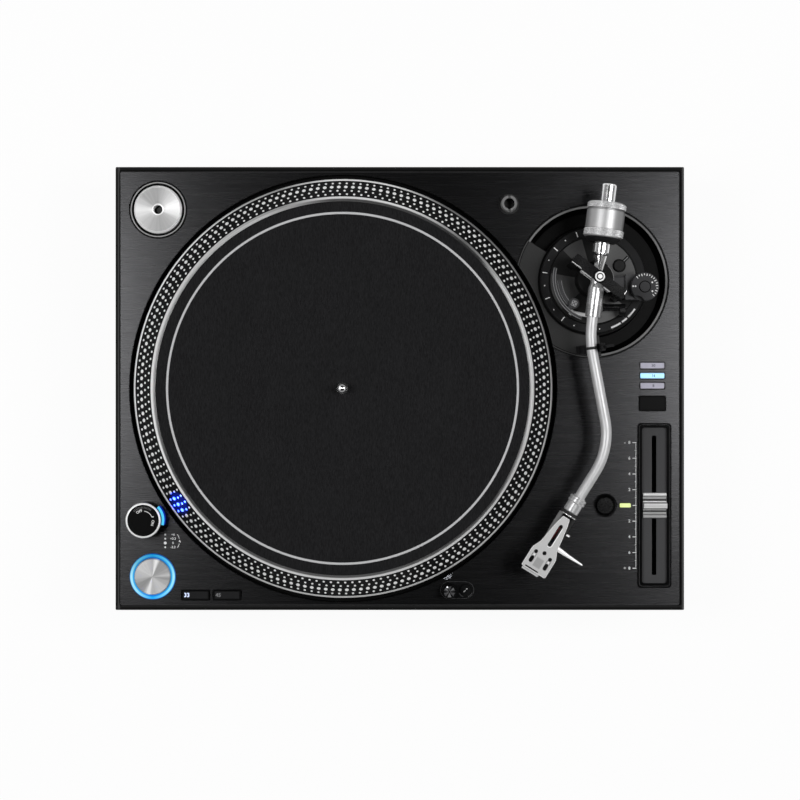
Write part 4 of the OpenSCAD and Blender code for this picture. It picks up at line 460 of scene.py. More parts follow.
def arm_plate_paint():
    """Plate under the gimbal: satin black, grey fields between its ribs, dark ring round its boss."""
    coat = Finish("arm_plate", (0.03, 0.03, 0.032), Specular_IOR_Level=0.1)
    turn = coat.angle(PIVOT)
    fields = coat.steps(turn, 0, 1, PLATE_FIELDS)
    black = coat.ramp(turn, -1, 2, [(-1, 0.007), (2, 0.007)])
    inside = coat.steps(coat.radius(PIVOT), 0, 40, [(0, 0.0), (14.6, 1.0), (33.7, 0.0)])
    from_boss = coat.radius(PLATE_BOSS)
    boss = coat.steps(from_boss, 0, 40, [(0, 0.022), (3.9, 0.002), (5.3, 1.0)])
    clear = coat.steps(from_boss, 0, 40, [(0, 0.0), (5.3, 1.0)])
    color = coat.mix(clear, boss, coat.mix(inside, black, fields))
    return coat.done(color, (0.42, 0.55), coat.grain(0.3), 0.02, soft=0.85)


def socket_paint():
    """Spare headshell socket: grey ring round a dark bore, on a black flange."""
    coat = Finish("spare_socket", (0.1, 0.1, 0.1), Metallic=0.3)
    r = coat.radius(SPARE)
    ring = coat.steps(r, 0, 10, [(0, 0.003), (4.15, 0.2), (6.5, 0.006)])
    return coat.done(ring, (0.32, 0.42), coat.waves(r, 3.0), 0.004, soft=0.8)


# Levels across the fader knob: painted highlights on the bars and painted shade in the valleys between them
FADER_BAR_LIGHT_AND_SHADE = [(-11, 0.3), (-5.3, 0.012), (-3.7, 0.4), (-2.2, 0.6), (-0.8, 0.46), (0.6, 0.62), (2.6, 0.9),
              (3.5, 0.012), (5.4, 0.3), (7.4, 0.42), (8.8, 0.85)]


def fader_bars():
    """Fader knob: three silver bars across it, lighter and darker in steps as painted highlights and shade,
    with valleys between them darkened as painted shade.
    """
    coat = Finish("fader_bars", (0.6, 0.6, 0.61), Metallic=0.3)
    # Painted light and shade across the knob
    bars = coat.steps(coat.axis("Y", FADER), -11, 11, FADER_BAR_LIGHT_AND_SHADE)
    return coat.done(bars, (0.36, 0.48), coat.noise((9, 0.25, 0.25), detail=3), 0.004, soft=0.88)


def framed_key(name, at, face, size):
    """Key whose face is a shade lighter than its black border."""
    coat = Finish(name, (0.005, 0.005, 0.005), Specular_IOR_Level=0.06)
    grain = coat.grain(0.3)
    wide, deep = (coat.steps(coat.axis(which, at), -15, 15, [(-15, 0.0), (-half, 1.0), (half, 0.0)])
                  for which, half in (("X", size[0] / 2), ("Y", size[1] / 2)))
    border = coat.tint(grain, (0.0015, 0.0015, 0.0016), 0.3)
    top = coat.tint(grain, (face, face, face * 1.05), 0.2)
    return coat.done(coat.mix(coat.times(wide, deep), border, top), (0.4, 0.48), grain, 0.01)


def fader_bed():
    """Fader frame: gloss black border, grey satin bed."""
    coat = Finish("fader_frame", (0.02, 0.02, 0.02), Specular_IOR_Level=0.02)
    grain, z = coat.grain(0.3), coat.axis("Z")
    bed = coat.tint(grain, (0.066, 0.066, 0.068), 0.12)
    border = coat.tint(grain, (0.002, 0.002, 0.0022), 0.2)
    high = coat.steps(z, 90, 110, [(90, 1.0), (97.9, 0.0), (99.2, 1.0)])
    rough = coat.steps(z, 90, 110, [(90, 0.6), (99.2, 0.3)])
    return coat.done(coat.mix(high, bed, border), rough, grain, 0.012)


def lead_colours():
    """Four insulated leads, each in its own colour, told apart by their place across the neck."""
    coat = Finish("lead_insulation", (0.5, 0.1, 0.1), Roughness=0.45)
    across = coat.axis("Y", HEAD, HEAD_TURN)
    upper = coat.steps(across, -4, 4, [(-4, (0.14, 0.008, 0.01)), (0, (0.045, 0.045, 0.043))])
    lower = coat.steps(across, -4, 4, [(-4, (0.006, 0.03, 0.012)), (0, (0.008, 0.012, 0.04))])
    high = coat.steps(coat.axis("Z", HEAD), -5, 2, [(-5, 0.0), (-1.6, 1.0)])
    coat.feed("Base Color", coat.mix(high, lower, upper))
    coat.bump(coat.noise((0.3, 0.3, 0.3)), 0.02)
    return coat.material


SOLE_TOP = 6.5


def foot_layers():
    """Levelling foot: rubber sole under a cast black body."""
    coat = Finish("foot", (0.03, 0.03, 0.03))
    z, grain = coat.axis("Z"), coat.grain(0.5)
    rubber = coat.tint(grain, (0.018, 0.018, 0.018), 0.3)
    cast = coat.tint(grain, (0.05, 0.05, 0.053), 0.2)
    share, rough, mirror = (coat.steps(z, 0, 50, [(0, sole), (SOLE_TOP, body)])
                            for sole, body in ((0.0, 1.0), (0.85, 0.42), (0.0, 0.6)))
    coat.feed("Metallic", mirror)
    return coat.done(coat.mix(share, rubber, cast), rough, grain, 0.05)


EVEN_SHADE = ((-40, 1.0), (40, 1.0))
# Painted light and shade across the counterweight: dark at one side, brightest just past its middle
WEIGHT_SHADE = ((-40, 0.15), (-14.6, 0.15), (-8.5, 0.7), (-3, 1.0), (8, 1.05), (15, 0.7), (40, 0.7))


def arm_metal(name, base, roughness, bands, mirror, tone=0.7, shade=EVEN_SHADE):
    """Turned rod along the arm: rings of another tone on its length, with painted light and shade from side to
    side.
    """
    coat = Finish(name, base, Metallic=mirror)
    lines = coat.noise((0.25, 6, 6), detail=3, at=PIVOT, turn=ARM_BACK)
    plain = coat.tint(lines, base, 0.05)
    toned = coat.tint(lines, tuple(c * tone for c in base), 0.06)
    rings = coat.steps(coat.axis("X", PIVOT, ARM_BACK), bands[0][0], bands[-1][0], bands)
    # Painted light and shade from side to side, given by the shade argument
    side = coat.ramp(coat.axis("Y", PIVOT, ARM_BACK), -40, 40, shade)
    coat.feed("Base Color", coat.times(coat.mix(rings, plain, toned), side))
    coat.feed("Roughness", coat.wander(lines, roughness - 0.015, roughness + 0.015))
    return coat.material


BLACK_PLASTIC = grained("black_plastic", (0.009, 0.009, 0.0095), 0.5, size=0.28, gloss=0.12)
KNOB_BLACK = grained("knob_black", (0.003, 0.003, 0.0032), 0.42, size=0.3, depth=0.01, gloss=0.03)
BLACK_GLOSS = grained("gloss_black", (0.005, 0.005, 0.0053), 0.2, size=1.2, depth=0.004, gloss=0.2)
KEY_BLACK = grained("key_black", (0.005, 0.005, 0.0053), 0.34, size=0.4, depth=0.008, gloss=0.08)
KNOB_GREY = grained("knob_grey", (0.055, 0.055, 0.058), 0.45, size=0.3, gloss=0.4)
LIFTER_GREY = grained("lifter_paint", (0.04, 0.04, 0.042), 0.5, size=0.3, depth=0.01, gloss=0.15)
HOUSING_GREY = grained("housing_paint", (0.07, 0.07, 0.073), 0.45, size=0.3, depth=0.01, gloss=0.15)
SKATE_GREY = grained("skate_knob_grey", (0.036, 0.036, 0.038), 0.45, size=0.3, depth=0.01, gloss=0.12)
RUBBER = grained("rubber", (0.012, 0.012, 0.012), 0.8, size=0.6, depth=0.05)
MAGNET = grained("sintered_magnet", (0.06, 0.06, 0.062), 0.6, size=0.8, depth=0.04)
BOARD = grained("printed_board", (0.02, 0.11, 0.05), 0.45, size=1.5, depth=0.02)
WHITE_INK = grained("white_ink", (0.78, 0.78, 0.78), 0.55, size=0.2, depth=0.004, spread=0.06)
GREY_INK = grained("grey_ink", (0.2, 0.2, 0.205), 0.55, size=0.2, depth=0.004, spread=0.08)
DARK_INK = grained("dark_ink", (0.06, 0.06, 0.09), 0.55, size=0.2, depth=0.004, spread=0.08)
WHITE_RING = grained("jack_white", (0.75, 0.75, 0.74), 0.4, spread=0.05)
RED_RING = grained("jack_red", (0.5, 0.02, 0.02), 0.4, spread=0.08)
TUBE_METAL = metal("tube_satin", (0.54, 0.54, 0.545), 0.42, size=(2, 7, 2), depth=0.001, mirror=0.38)
KNURL_METAL = metal("knurl", (0.6, 0.6, 0.605), 0.42, size=(1.1, 1.1, 1.1), depth=0.002, mirror=0.45,
                    spread=0.4)
COLLAR_METAL = metal("collar_turned", (0.6, 0.6, 0.605), 0.3, depth=0.001, mirror=0.6)
SHAFT_METAL = metal("shaft_polished", (0.86, 0.86, 0.87), 0.14, size=(6, 0.3, 6), depth=0.0003)
BRIGHT_STEEL = metal("bright_steel", (0.8, 0.8, 0.81), 0.2, depth=0.003)
DARK_STEEL = metal("dark_steel", (0.2, 0.2, 0.205), 0.35)
BRASS = metal("turned_brass", (0.72, 0.56, 0.3), 0.3)
GOLD = metal("plated_terminal", (0.83, 0.68, 0.36), 0.22)
COPPER = metal("coil_wire", (0.6, 0.3, 0.16), 0.4, size=(3, 0.3, 0.3))
DOT_METAL = metal("dot_polished", (0.95, 0.95, 0.95), 0.35, depth=0.001, mirror=0.2)
WEIGHT_METAL = arm_metal("weight_turned", (0.53, 0.53, 0.535), 0.42,
                         [(37, 0.0), (51.6, 1.0), (53.4, 0.0), (60, 0.0)], 0.6, shade=WEIGHT_SHADE)
FERRULE_METAL = arm_metal("ferrule_turned", (0.52, 0.52, 0.525), 0.28,
                          [(-32, 1.0), (-21.5, 0.0), (5, 0.0)], 0.75)
REAR_METAL = arm_metal("rear_shaft_turned", (0.8, 0.8, 0.805), 0.17,
                       [(0, 0.0), (17.0, 1.0), (18.4, 0.0), (80, 0.0)], 0.95, tone=0.02)
BLUE_DIGIT = lit("digit_glow", (0.4, 0.45, 0.6), (0.62, 0.72, 1.0))
LAMP_EYE = lit("lamp_eye_glow", (0.7, 0.7, 0.7), (0.95, 0.97, 1.0))
FOOT = foot_layers()

FINISHES = {
    "cabinet": cabinet_paint(), "top_panel": hairline_panel(), "base_cover": BLACK_PLASTIC,
    "base_screws": DARK_STEEL, "arm_base": arm_base_paint(), "arm_rest": BLACK_PLASTIC,
    "bearing_sleeve": BRASS, "motor_stator": COPPER, "control_boards": BOARD, "power_supply": DARK_STEEL,
    "strobe_tower": BLACK_GLOSS, "strobe_lens": strobe_window(), "start_light_ring": lit_ring(),
    "indicator_lights": indicator_lens(), "lamp_plate": KEY_BLACK, "fader_frame": fader_bed(),
    "fader_rail": BLACK_PLASTIC,
    "spare_headshell_socket": socket_paint(), "mains_inlet": BLACK_PLASTIC, "rear_plate": BLACK_PLASTIC,
    "output_terminals": GOLD, "platter": platter_metal(), "spindle": SHAFT_METAL, "rotor_magnet": MAGNET,
    "slipmat": BLACK_PLASTIC, "height_dial": BLACK_PLASTIC, "arm_column": arm_plate_paint(),
    "gimbal_bridge": BLACK_GLOSS, "skate_housing": HOUSING_GREY, "swing_frame": DOT_METAL,
    "arm_pivot_block": FERRULE_METAL, "arm_rear_shaft": REAR_METAL, "arm_tube": TUBE_METAL,
    "weight_sleeve": DARK_STEEL, "counterweight": WEIGHT_METAL, "force_dial": WEIGHT_METAL,
    "locking_collar": COLLAR_METAL, "headshell": DARK_STEEL, "finger_lift": DARK_STEEL,
    "headshell_leads": lead_colours(), "arm_lifter": LIFTER_GREY, "cue_lever": BLACK_GLOSS,
    "height_lock_lever": DOT_METAL, "skate_knob": SKATE_GREY, "arm_clamp": BLACK_PLASTIC,
    "power_knob": KNOB_BLACK,
    "start_stop_button": spun_disc("start_spun", START, START_PAINTED_RAYS, NO_RIM_HIGHLIGHTS),
    "button_33": framed_key("key_33", (SPEED_X[0], SPEED_Y), 0.014, (19.4, 5.4)),
    "button_45": framed_key("key_45", (SPEED_X[1], SPEED_Y), 0.014, (19.4, 5.4)),
    "range_button": framed_key("range_key", (RANGE_X, RANGE_Y), 0.003, (17.8, 8.6)),
    "reset_button": BLACK_GLOSS, "tempo_fader": fader_bars(), "stylus_lamp": KNOB_BLACK,
    "lamp_button": KEY_BLACK, "ground_nut": BRIGHT_STEEL,
    "record_adapter": spun_disc("adapter_spun", ADAPTER, ADAPTER_PAINTED_RAYS, ADAPTER_RIM_HIGHLIGHTS),
}
for name, piece in nodes.items():
    piece.data.materials.clear()
    piece.data.materials.append(FINISHES.get(name, FOOT))


# Shapes

INK = (-0.03, 0.06)
INK_EDGE = 0.02
TEXT_LIFT = 0.02


class Pile:
    """Vertices and faces of one piece in millimetres, gathered from simple shapes."""

    def __init__(self):
        self.verts = []
        self.faces = []

    def add(self, verts, faces, place=Matrix()):
        first = len(self.verts)
        self.verts += [place @ Vector(v) for v in verts]
        self.faces += [[first + i for i in face] for face in faces]

    def swept(self, loops, place=Matrix()):
        """Closed loops with as many points, joined in turn and shut at both ends."""
        n, last = len(loops[0]), len(loops[0]) * (len(loops) - 1)
        faces = [list(range(n - 1, -1, -1)), list(range(last, last + n))]
        for row in range(0, last, n):
            faces += [[row + i, row + (i + 1) % n, row + n + (i + 1) % n, row + n + i] for i in range(n)]
        self.add([v for loop in loops for v in loop], faces, place)

    def slab(self, outline, low, high, place=Matrix()):
        """A flat outline, counter-clockwise, between two heights."""
        self.swept([[(x, y, z) for x, y in outline] for z in (low, high)], place)

    def box(self, x, y, z, place=Matrix()):
        self.slab([(x[0], y[0]), (x[1], y[0]), (x[1], y[1]), (x[0], y[1])], *z, place)

    def arc(self, r_in, r_out, start, stop, low, high, place=Matrix(), step=4.0):
        """A band of a ring between two angles in degrees."""
        n = max(2, round(abs(stop - start) / step))
        turns = [math.radians(start + (stop - start) * i / n) for i in range(n + 1)]
        outline = [on_circle(r_out, a) for a in turns] + [on_circle(r_in, a) for a in reversed(turns)]
        self.slab(outline, low, high, place)

    def turned(self, profile, place=Matrix(), steps=64):
        """A closed outline of radius and height, turned about Z."""
        n = len(profile)
        faces = []
        for i in range(steps):
            here, there = i * n, (i + 1) % steps * n
            faces += [[here + k, there + k, there + (k + 1) % n, here + (k + 1) % n] for k in range(n)]
        self.add([(*on_circle(r, a), z) for a in full_turn(steps) for r, z in profile], faces, place)

    def disc(self, r, low, high, place=Matrix(), edge=0.1, steps=24):
        """A low button with a chamfered edge."""
        self.swept([[(*on_circle(radius, a), z) for a in full_turn(steps)]
                    for radius, z in ((r, low), (r, high - edge), (r - edge, high))], place)

    def dot(self, r, place, steps=12):
        """A printed dot."""
        self.disc(r, *INK, place, INK_EDGE, steps)

    def frame(self, inner, outer, low, high, place, drop=0.0):
        """A flat frame between two outlines with as many points, whose outer edge may lie lower."""
        n = len(inner)
        verts = [(x, y, low) for loop in (inner, outer) for x, y in loop]
        verts += [(x, y, high) for x, y in inner] + [(x, y, high - drop) for x, y in outer]
        faces = []
        for i in range(n):
            j = (i + 1) % n
            faces += [[i, j, n + j, n + i], [2 * n + i, 3 * n + i, 3 * n + j, 2 * n + j],
                      [n + i, n + j, 3 * n + j, 3 * n + i], [i, 2 * n + i, 2 * n + j, j]]
        self.add(verts, faces, place)

    def words(self, text, size, place):
        """Plain digits or letters about the middle of a place."""
        curve = bpy.data.curves.new("words", "FONT")
        curve.body = text
        curve.size = size
        curve.extrude = 0.03
        curve.offset = 0.02 * size
        curve.align_x = "CENTER"
        curve.align_y = "CENTER"
        curve.resolution_u = 3
        self.drawn(curve, place @ Matrix.Translation((0, 0, TEXT_LIFT)))

    def plate(self, loops, low, high, place):
        """A flat plate between two heights, from an outline and the outlines of its holes."""
        curve = bpy.data.curves.new("plate", "CURVE")
        curve.dimensions = "2D"
        curve.fill_mode = "BOTH"
        curve.extrude = (high - low) / 2
        for loop in loops:
            spline = curve.splines.new("POLY")
            spline.points.add(len(loop) - 1)
            for point, (x, y) in zip(spline.points, loop):
                point.co = (x, y, 0, 1)
            spline.use_cyclic_u = True
        self.drawn(curve, place @ Matrix.Translation((0, 0, (low + high) / 2)))

    def drawn(self, curve, place):
        """The mesh of a filled curve, which isn't kept."""
        holder = bpy.data.objects.new("drawn", curve)
        mesh = bpy.data.meshes.new_from_object(holder)
        self.add([v.co for v in mesh.vertices], [list(p.vertices) for p in mesh.polygons], place)
        bpy.data.objects.remove(holder)
        bpy.data.curves.remove(curve)
        bpy.data.meshes.remove(mesh)

    def made(self, name, body, slot, material, smooth=30.0):
        """The finished piece, riding on its body."""
        mesh = bpy.data.meshes.new(name)
        mesh.from_pydata([v * MM for v in self.verts], [], self.faces)
        mesh.validate()
        mesh.polygons.foreach_set("use_smooth", [True] * len(mesh.polygons))
        mesh.set_sharp_from_angle(angle=math.radians(smooth))
        mesh.materials.append(material)
        piece = bpy.data.objects.new(name, mesh)
        bpy.context.scene.collection.objects.link(piece)
        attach(piece, body)
        return piece


def rounded(length, width, r, steps=5):
    """Outline of a rectangle with round corners, about its middle."""
    outline = []
    for k, (sx, sy) in enumerate(((1, 1), (-1, 1), (-1, -1), (1, -1))):
        corner = (sx * (length / 2 - r), sy * (width / 2 - r))
        outline += [on_circle(r, math.pi / 2 * (k + i / steps), corner) for i in range(steps + 1)]
    return outline


def pill(start, stop, y, half, steps=8):
    """Outline of a slot along X with round ends."""
    return [on_circle(half, math.radians(first + 180 * i / steps), (x, y))
            for x, first in ((stop, -90), (start, 90)) for i in range(steps + 1)]


def inset(outline, depth):
    """A counter-clockwise outline moved inwards."""
    moved = []
    for i, (x, y) in enumerate(outline):
        way = (Vector(outline[(i + 1) % len(outline)]) - Vector(outline[i - 1])).normalized()
        moved.append((x - way.y * depth, y + way.x * depth))
    return moved


# Platter

BEVEL_LOW = (164.0, 105.0)
BEVEL_HIGH = (151.0, 119.2)
DOT_ROWS = ((152.6, 0.97, 170, 0.88), (155.7, 0.97, 174, 0.23), (159.1, 1.55, 180, 0.57),
            (162.4, 0.97, 186, 0.96))
DOT_STRETCH = 1.25
DOT_HEIGHT = 0.32
DOT_SIDES = 10


def platter_dots():
    """Rows of raised polished dots on the bevel, drawn out along the slope to look round from above."""
    run, rise = BEVEL_HIGH[0] - BEVEL_LOW[0], BEVEL_HIGH[1] - BEVEL_LOW[1]
    slope = math.hypot(run, rise)
    sides = [(k, (k + 1) % DOT_SIDES) for k in range(DOT_SIDES)]
    faces = [[0, 1 + k, 1 + j] for k, j in sides]
    faces += [[1 + k, 1 + DOT_SIDES + k, 1 + DOT_SIDES + j, 1 + j] for k, j in sides]
    pile = Pile()
    for r, half, count, shift in DOT_ROWS:
        z = BEVEL_LOW[1] + (r - BEVEL_LOW[0]) * rise / run
        for i in range(count):
            a = 2 * math.pi * (i + shift) / count
            out = Vector((math.cos(a), math.sin(a), 0))
            up_slope = out * (run / slope) + Vector((0, 0, rise / slope))
            round_way = Vector((-math.sin(a), math.cos(a), 0))
            normal = round_way.cross(up_slope)
            centre = Vector((*PLATTER, z)) + out * r
            verts = [centre + normal * DOT_HEIGHT]
            for share, lift in ((0.55, 0.8), (1.0, -0.1)):
                for b in full_turn(DOT_SIDES):
                    across, along = on_circle(half * share, b)
                    verts.append(centre + round_way * across + up_slope * (DOT_STRETCH * along)
                                 + normal * (DOT_HEIGHT * lift))
            pile.add(verts, faces)
    pile.made("platter_dots", "platter", "platter_aluminium", DOT_METAL, smooth=80)


MAT_R = 147.0
MAT_HOLE_R = 4.475
MAT_LOW = 117.0
MAT_TOP = 118.5
MAT_RINGS = 48
MAT_STEPS = 192


def felt_mat():
    """The slipmat as a thin felt disc with a soft edge and a surface that isn't quite flat."""
    profile = [(MAT_HOLE_R, MAT_LOW), (MAT_HOLE_R, MAT_TOP - 0.25), (MAT_HOLE_R + 0.3, MAT_TOP)]
    first, last = MAT_HOLE_R + 1.0, MAT_R - 0.9
    profile += [(first + (last - first) * i / MAT_RINGS, MAT_TOP) for i in range(MAT_RINGS + 1)]
    profile += [(MAT_R - 0.35, MAT_TOP - 0.08), (MAT_R, MAT_TOP - 0.45), (MAT_R, MAT_LOW + 0.3),
                (MAT_R - 0.3, MAT_LOW)]
    pile = Pile()
    pile.turned(profile, placed((*PLATTER, 0)), MAT_STEPS)
    for v in pile.verts:
        if v.z > MAT_TOP - 0.1:
            v.z += 0.07 * noise.noise(v * 0.08) + 0.05 * noise.noise(v * 0.6) - 0.03
    mat = pile.made("slipmat_felt", "slipmat", "felt", felt_cloth(), smooth=50)
    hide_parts("slipmat")


# Marks on the panel and the keys

SCALE_LINE_X = (187.5, 187.95)
SCALE_NUMBER_X = 182.6
SCALE_SIGN_X = 179.0
LONG_TICK = (2.4, 0.3)
SHORT_TICK = (0.5, 0.25)


def fader_scale():
    """Line, ticks and plain numbers beside the fader."""
    pile = Pile()
    panel = placed((0, 0, PANEL_Z))
    for step in range(-8, 9):
        y = FADER[1] - step * FADER_TRAVEL / 16
        length, half = SHORT_TICK if step % 2 else LONG_TICK
        pile.box((SCALE_LINE_X[0] - length, SCALE_LINE_X[1] + 0.2), (y - half, y + half), INK, panel)
        if step % 2 == 0 and step:
            pile.words(str(abs(step)), 3.3, shifted(panel, SCALE_NUMBER_X, y))
        if step < 8:
            middle = y - FADER_TRAVEL / 32
            pile.box((SCALE_LINE_X[0] + 0.1, SCALE_LINE_X[1]), (middle - 2.6, middle + 2.6), INK, panel)
    for sign, size, side in (("-", 3.6, 1), ("+", 3.4, -1)):
        pile.words(sign, size, shifted(panel, SCALE_SIGN_X, FADER[1] + side * FADER_TRAVEL / 2))
    pile.made("fader_scale", "chassis", "white_light", WHITE_INK)


LEGEND_ROWS = ((-116.3, 0.75, "+6"), (-119.5, 0.75, "+3.3"), (-122.9, 1.15, "0"), (-126.3, 0.75, "-3.3"))
LEGEND_X = (-186.6, -180.4)
LEGEND_ARROW = (-184.0, -121.3)


def strobe_legend():
    """Four dots with the speed differences that they show, beside an arrow."""
    pile = Pile()
    for y, r, text in LEGEND_ROWS:
        pile.dot(r, placed((LEGEND_X[0], y, PANEL_Z)), steps=24)
        pile.words(text, 2.6, placed((LEGEND_X[1], y, PANEL_Z)))
    here = placed((*LEGEND_ARROW, PANEL_Z))
    for start, stop in ((12, 38), (-38, -14)):
        pile.arc(8.6, 9.0, start, stop, *INK, here)
    pile.slab([(8.0, -0.2), (9.9, -1.4), (9.0, 0.9)], *INK, here)
    pile.made("strobe_legend", "chassis", "white_light", WHITE_INK)


def key_numbers():
    """Speed numbers on their keys, one lit and one not."""
    for text, x, size, slot, material in (("33", -169.3, 4.6, "cyan_light", BLUE_DIGIT),
                                          ("45", -144.3, 4.2, "white_light", GREY_INK)):
        pile = Pile()
        pile.words(text, size, placed((x, SPEED_Y, KEY_TOP)))
        pile.made("number_" + text, "button_" + text, slot, material)


def range_numbers():
    """Plain numbers on the range lights."""
    pile = Pile()
    for y, text in zip(RANGE_LIGHT_Y, ("8", "16", "50")):
        pile.words(text, 3.0, placed((RANGE_X + 0.8, y, RANGE_LIGHT_TOP)))
    pile.made("range_numbers", "chassis", "white_light", DARK_INK)


# Black frames round the keys and range lights: painted shadow of the gaps round them
FRAMES = ([(x, SPEED_Y, 22.0, 7.4, 0.4) for x in SPEED_X] + [(RANGE_X, RANGE_Y, 20.8, 11.4, 0.3)]
          + [(RANGE_X, y, 18.8, 4.4, 0.6) for y in RANGE_LIGHT_Y])
FRAME_GAP = 0.32


def key_frames():
    """Black frames round the keys and the range lights, which are painted shadow of the gaps they sit in, and
    a light line on the fader's frame.
    """
    pile = Pile()
    for x, y, length, width, band in FRAMES:
        length, width = length + 2 * FRAME_GAP, width + 2 * FRAME_GAP
        outer = rounded(length + 2 * band, width + 2 * band, 1.0 + band)
        pile.frame(rounded(length, width, 1.0), outer, INK[0], 0.1, placed((x, y, PANEL_Z)))
    pile.made("key_frames", "chassis", "black_plastic", KNOB_BLACK)
    line = Pile()
    crest = placed((*FADER, FADER_CREST))
    line.frame(rounded(24.2, 128.2, 2.2), rounded(24.35, 128.35, 2.3), INK[0], 0.05, crest)
    line.made("fader_lines", "chassis", "white_light", GREY_INK)


# Strobe tower

KNOB_RIM = [(12.35, -0.1), (12.4, 0.12), (13.0, 0.14), (13.75, -0.6), (13.85, -0.9), (13.4, -0.9)]
KNOB_WORD_R = 7.6
KNOB_TICKS = 14


def power_knob_marks():
    """Polished rim, ticks, and the two switch positions with an arrow between them."""
    here = placed((*TOWER, KNOB_TOP))
    edge = Pile()
    edge.turned(KNOB_RIM, here, 96)
    edge.made("power_knob_rim", "power_knob", "satin_aluminium", DOT_METAL, smooth=60)
    marks = Pile()
    marks.arc(7.2, 7.7, 20, 82, *INK, here)
    marks.slab([(6.3, 3.2), (7.9, 2.2), (8.4, 3.4)], *INK, here)
    for text, angle in (("OFF", 113), ("ON", -14)):
        spot = on_circle(KNOB_WORD_R, math.radians(angle), TOWER)
        marks.words(text, 2.9, placed((*spot, KNOB_TOP), angle - 90))
    marks.made("power_knob_marks", "power_knob", "white_light", WHITE_INK)
    ticks = Pile()
    for i in range(KNOB_TICKS):
        ticks.box((9.4, 11.0), (-0.12, 0.12), INK, placed((*TOWER, KNOB_TOP), 55 + 6 * i))
    ticks.made("power_knob_ticks", "power_knob", "white_light", GREY_INK)


# Stylus lamp

PETAL = [(0.7, -0.25, 0), (4.3, -1.55, 0), (4.3, 1.55, 0), (0.7, 0.25, 0), (0.9, 0, 0.1), (4.0, 0, 0.5)]
PETAL_FACES = [[0, 1, 5, 4], [3, 4, 5, 2], [1, 2, 5], [0, 4, 3], [0, 3, 2, 1]]
PLATE_LINE = (6.55, 6.75)


def lamp_details():
    """Petals on the lamp's head, its bright eye, the mark on its button, and lines on their plate."""
    petals = Pile()
    for i in range(6):
        petals.add(PETAL, PETAL_FACES, placed((*LAMP, LAMP_TOP), 60 * i + 30))
    petals.made("lamp_petals", "stylus_lamp", "satin_aluminium", KNOB_GREY)
    facing = math.degrees(math.atan2(PLATTER[1] - LAMP[1], PLATTER[0] - LAMP[0]))
    eye = Pile()
    eye.disc(1.9, 3.6, 4.3, placed((*LAMP, LAMP_TOP - 5), facing) @ LYING, edge=0.3)
    eye.disc(0.6, INK[0], 0.45, placed((LAMP[0] - 1.7, LAMP[1] + 3.7, LAMP_TOP)))
    eye.made("lamp_eye", "stylus_lamp", "white_light", LAMP_EYE, smooth=60)
    mark = Pile()
    here = placed((*LAMP_BUTTON, KEY_TOP), 45)
    mark.box((-1.5, 1.5), (-0.12, 0.12), INK, here)
    for x in (-1.6, 1.6):
        mark.dot(0.45, shifted(here, x))
    mark.made("lamp_button_mark", "lamp_button", "white_light", WHITE_INK)
    lines = Pile()
    left, right = placed((*LAMP, LAMP_PLATE_TOP)), placed((*LAMP_BUTTON, LAMP_PLATE_TOP))
    lines.arc(*PLATE_LINE, 90, 270, *INK, left)
    lines.arc(*PLATE_LINE, -90, 90, *INK, right)
    for y in (-PLATE_LINE[1], PLATE_LINE[0]):
        lines.box((0, LAMP_BUTTON[0] - LAMP[0]), (y, y + 0.2), INK, left)
    for start in (205, 290):
        lines.arc(5.4, 5.85, start, start + 45, *INK, right)
    lines.made("lamp_plate_lines", "chassis", "black_plastic", KNOB_GREY)


# Arm base

DIAL_BARS = ((291, 303), (305, 312), (314, 326))
SKATE_DOTS = ((30, 6.6), (-32, 6.8), (178, 7.4), (178, 9.2))


def arm_base_marks():
    """Ticks on the height dial and the anti-skate knob, and a slot from the plate's boss to its edge."""
    here = placed((*PLATE_BOSS, PLATE_TOP), 45)
    slot = Pile()
    slot.box((4.6, 10.2), (-1.3, 1.3), (-0.03, 0.12), here)
    slot.made("plate_slot", "arm_column", "black_plastic", KNOB_BLACK)
    core = Pile()
    core.box((5.2, 9.8), (-0.4, 0.4), (0.05, 0.18), here)
    core.made("plate_slot_core", "arm_column", "white_light", GREY_INK)
    dial = Pile()
    for i in range(12):
        here = over_pivot(DIAL_TOP, 109.3 + 15.3 * i)
        if i % 2:
            dial.dot(0.5, shifted(here, 38.6))
        else:
            dial.box((36.6, 40.6), (-0.35, 0.35), INK, here)
    for start, stop in DIAL_BARS:
        dial.arc(39.2, 40.6, start, stop, *INK, over_pivot(DIAL_TOP))
    dial.made("height_dial_marks", "height_dial", "white_light", WHITE_INK)
    knob = Pile()
    for i in range(15):
        knob.box((9.0 if i % 2 else 8.4, 10.3), (-0.3, 0.3), INK, placed((*SKATE, SKATE_TOP), -45 + 12.5 * i))
    for angle, r in SKATE_DOTS:
        knob.dot(0.7, shifted(placed((*SKATE, SKATE_TOP), angle), r))
    knob.made("skate_knob_marks", "skate_knob", "white_light", WHITE_INK)
    hub = Pile()
    hub.arc(3.95, 4.7, 0, 359.9, *INK, placed((*SKATE, SKATE_TOP)))
    hub.made("skate_hub_ring", "skate_knob", "black_plastic", KNOB_BLACK)


PEDESTAL_R = 14.0
NUT = [(2.6, 0.2), (2.6, 1.7), (2.8, 1.9), (3.4, 1.9), (3.8, 1.5), (3.8, 0.0), (3.5, 0.0)]
FRAME_EDGE = ((-3.45, -1.9), (-4.5, -1.5), (-3.45, -0.1))
HOUSING_NECK_X = (166.6, 177.1)
HOUSING_NECK_SECTION = ((88.4, 108.45), (88.4, 117.6), (86.6, 119.4), (72.4, 119.4), (70.6, 117.6),
                        (70.6, 108.45))


def prism(pile, span, section, place=Matrix()):
    """A section of Y and Z drawn along X."""
    pile.swept([[(x, y, z) for y, z in section] for x in span], place)


def bevel(y, z, width, drop):
    """Section of a small bevel along an edge."""
    return (y, z - drop), (y - 0.06, z - 0.08), (y + width, z + 0.06)


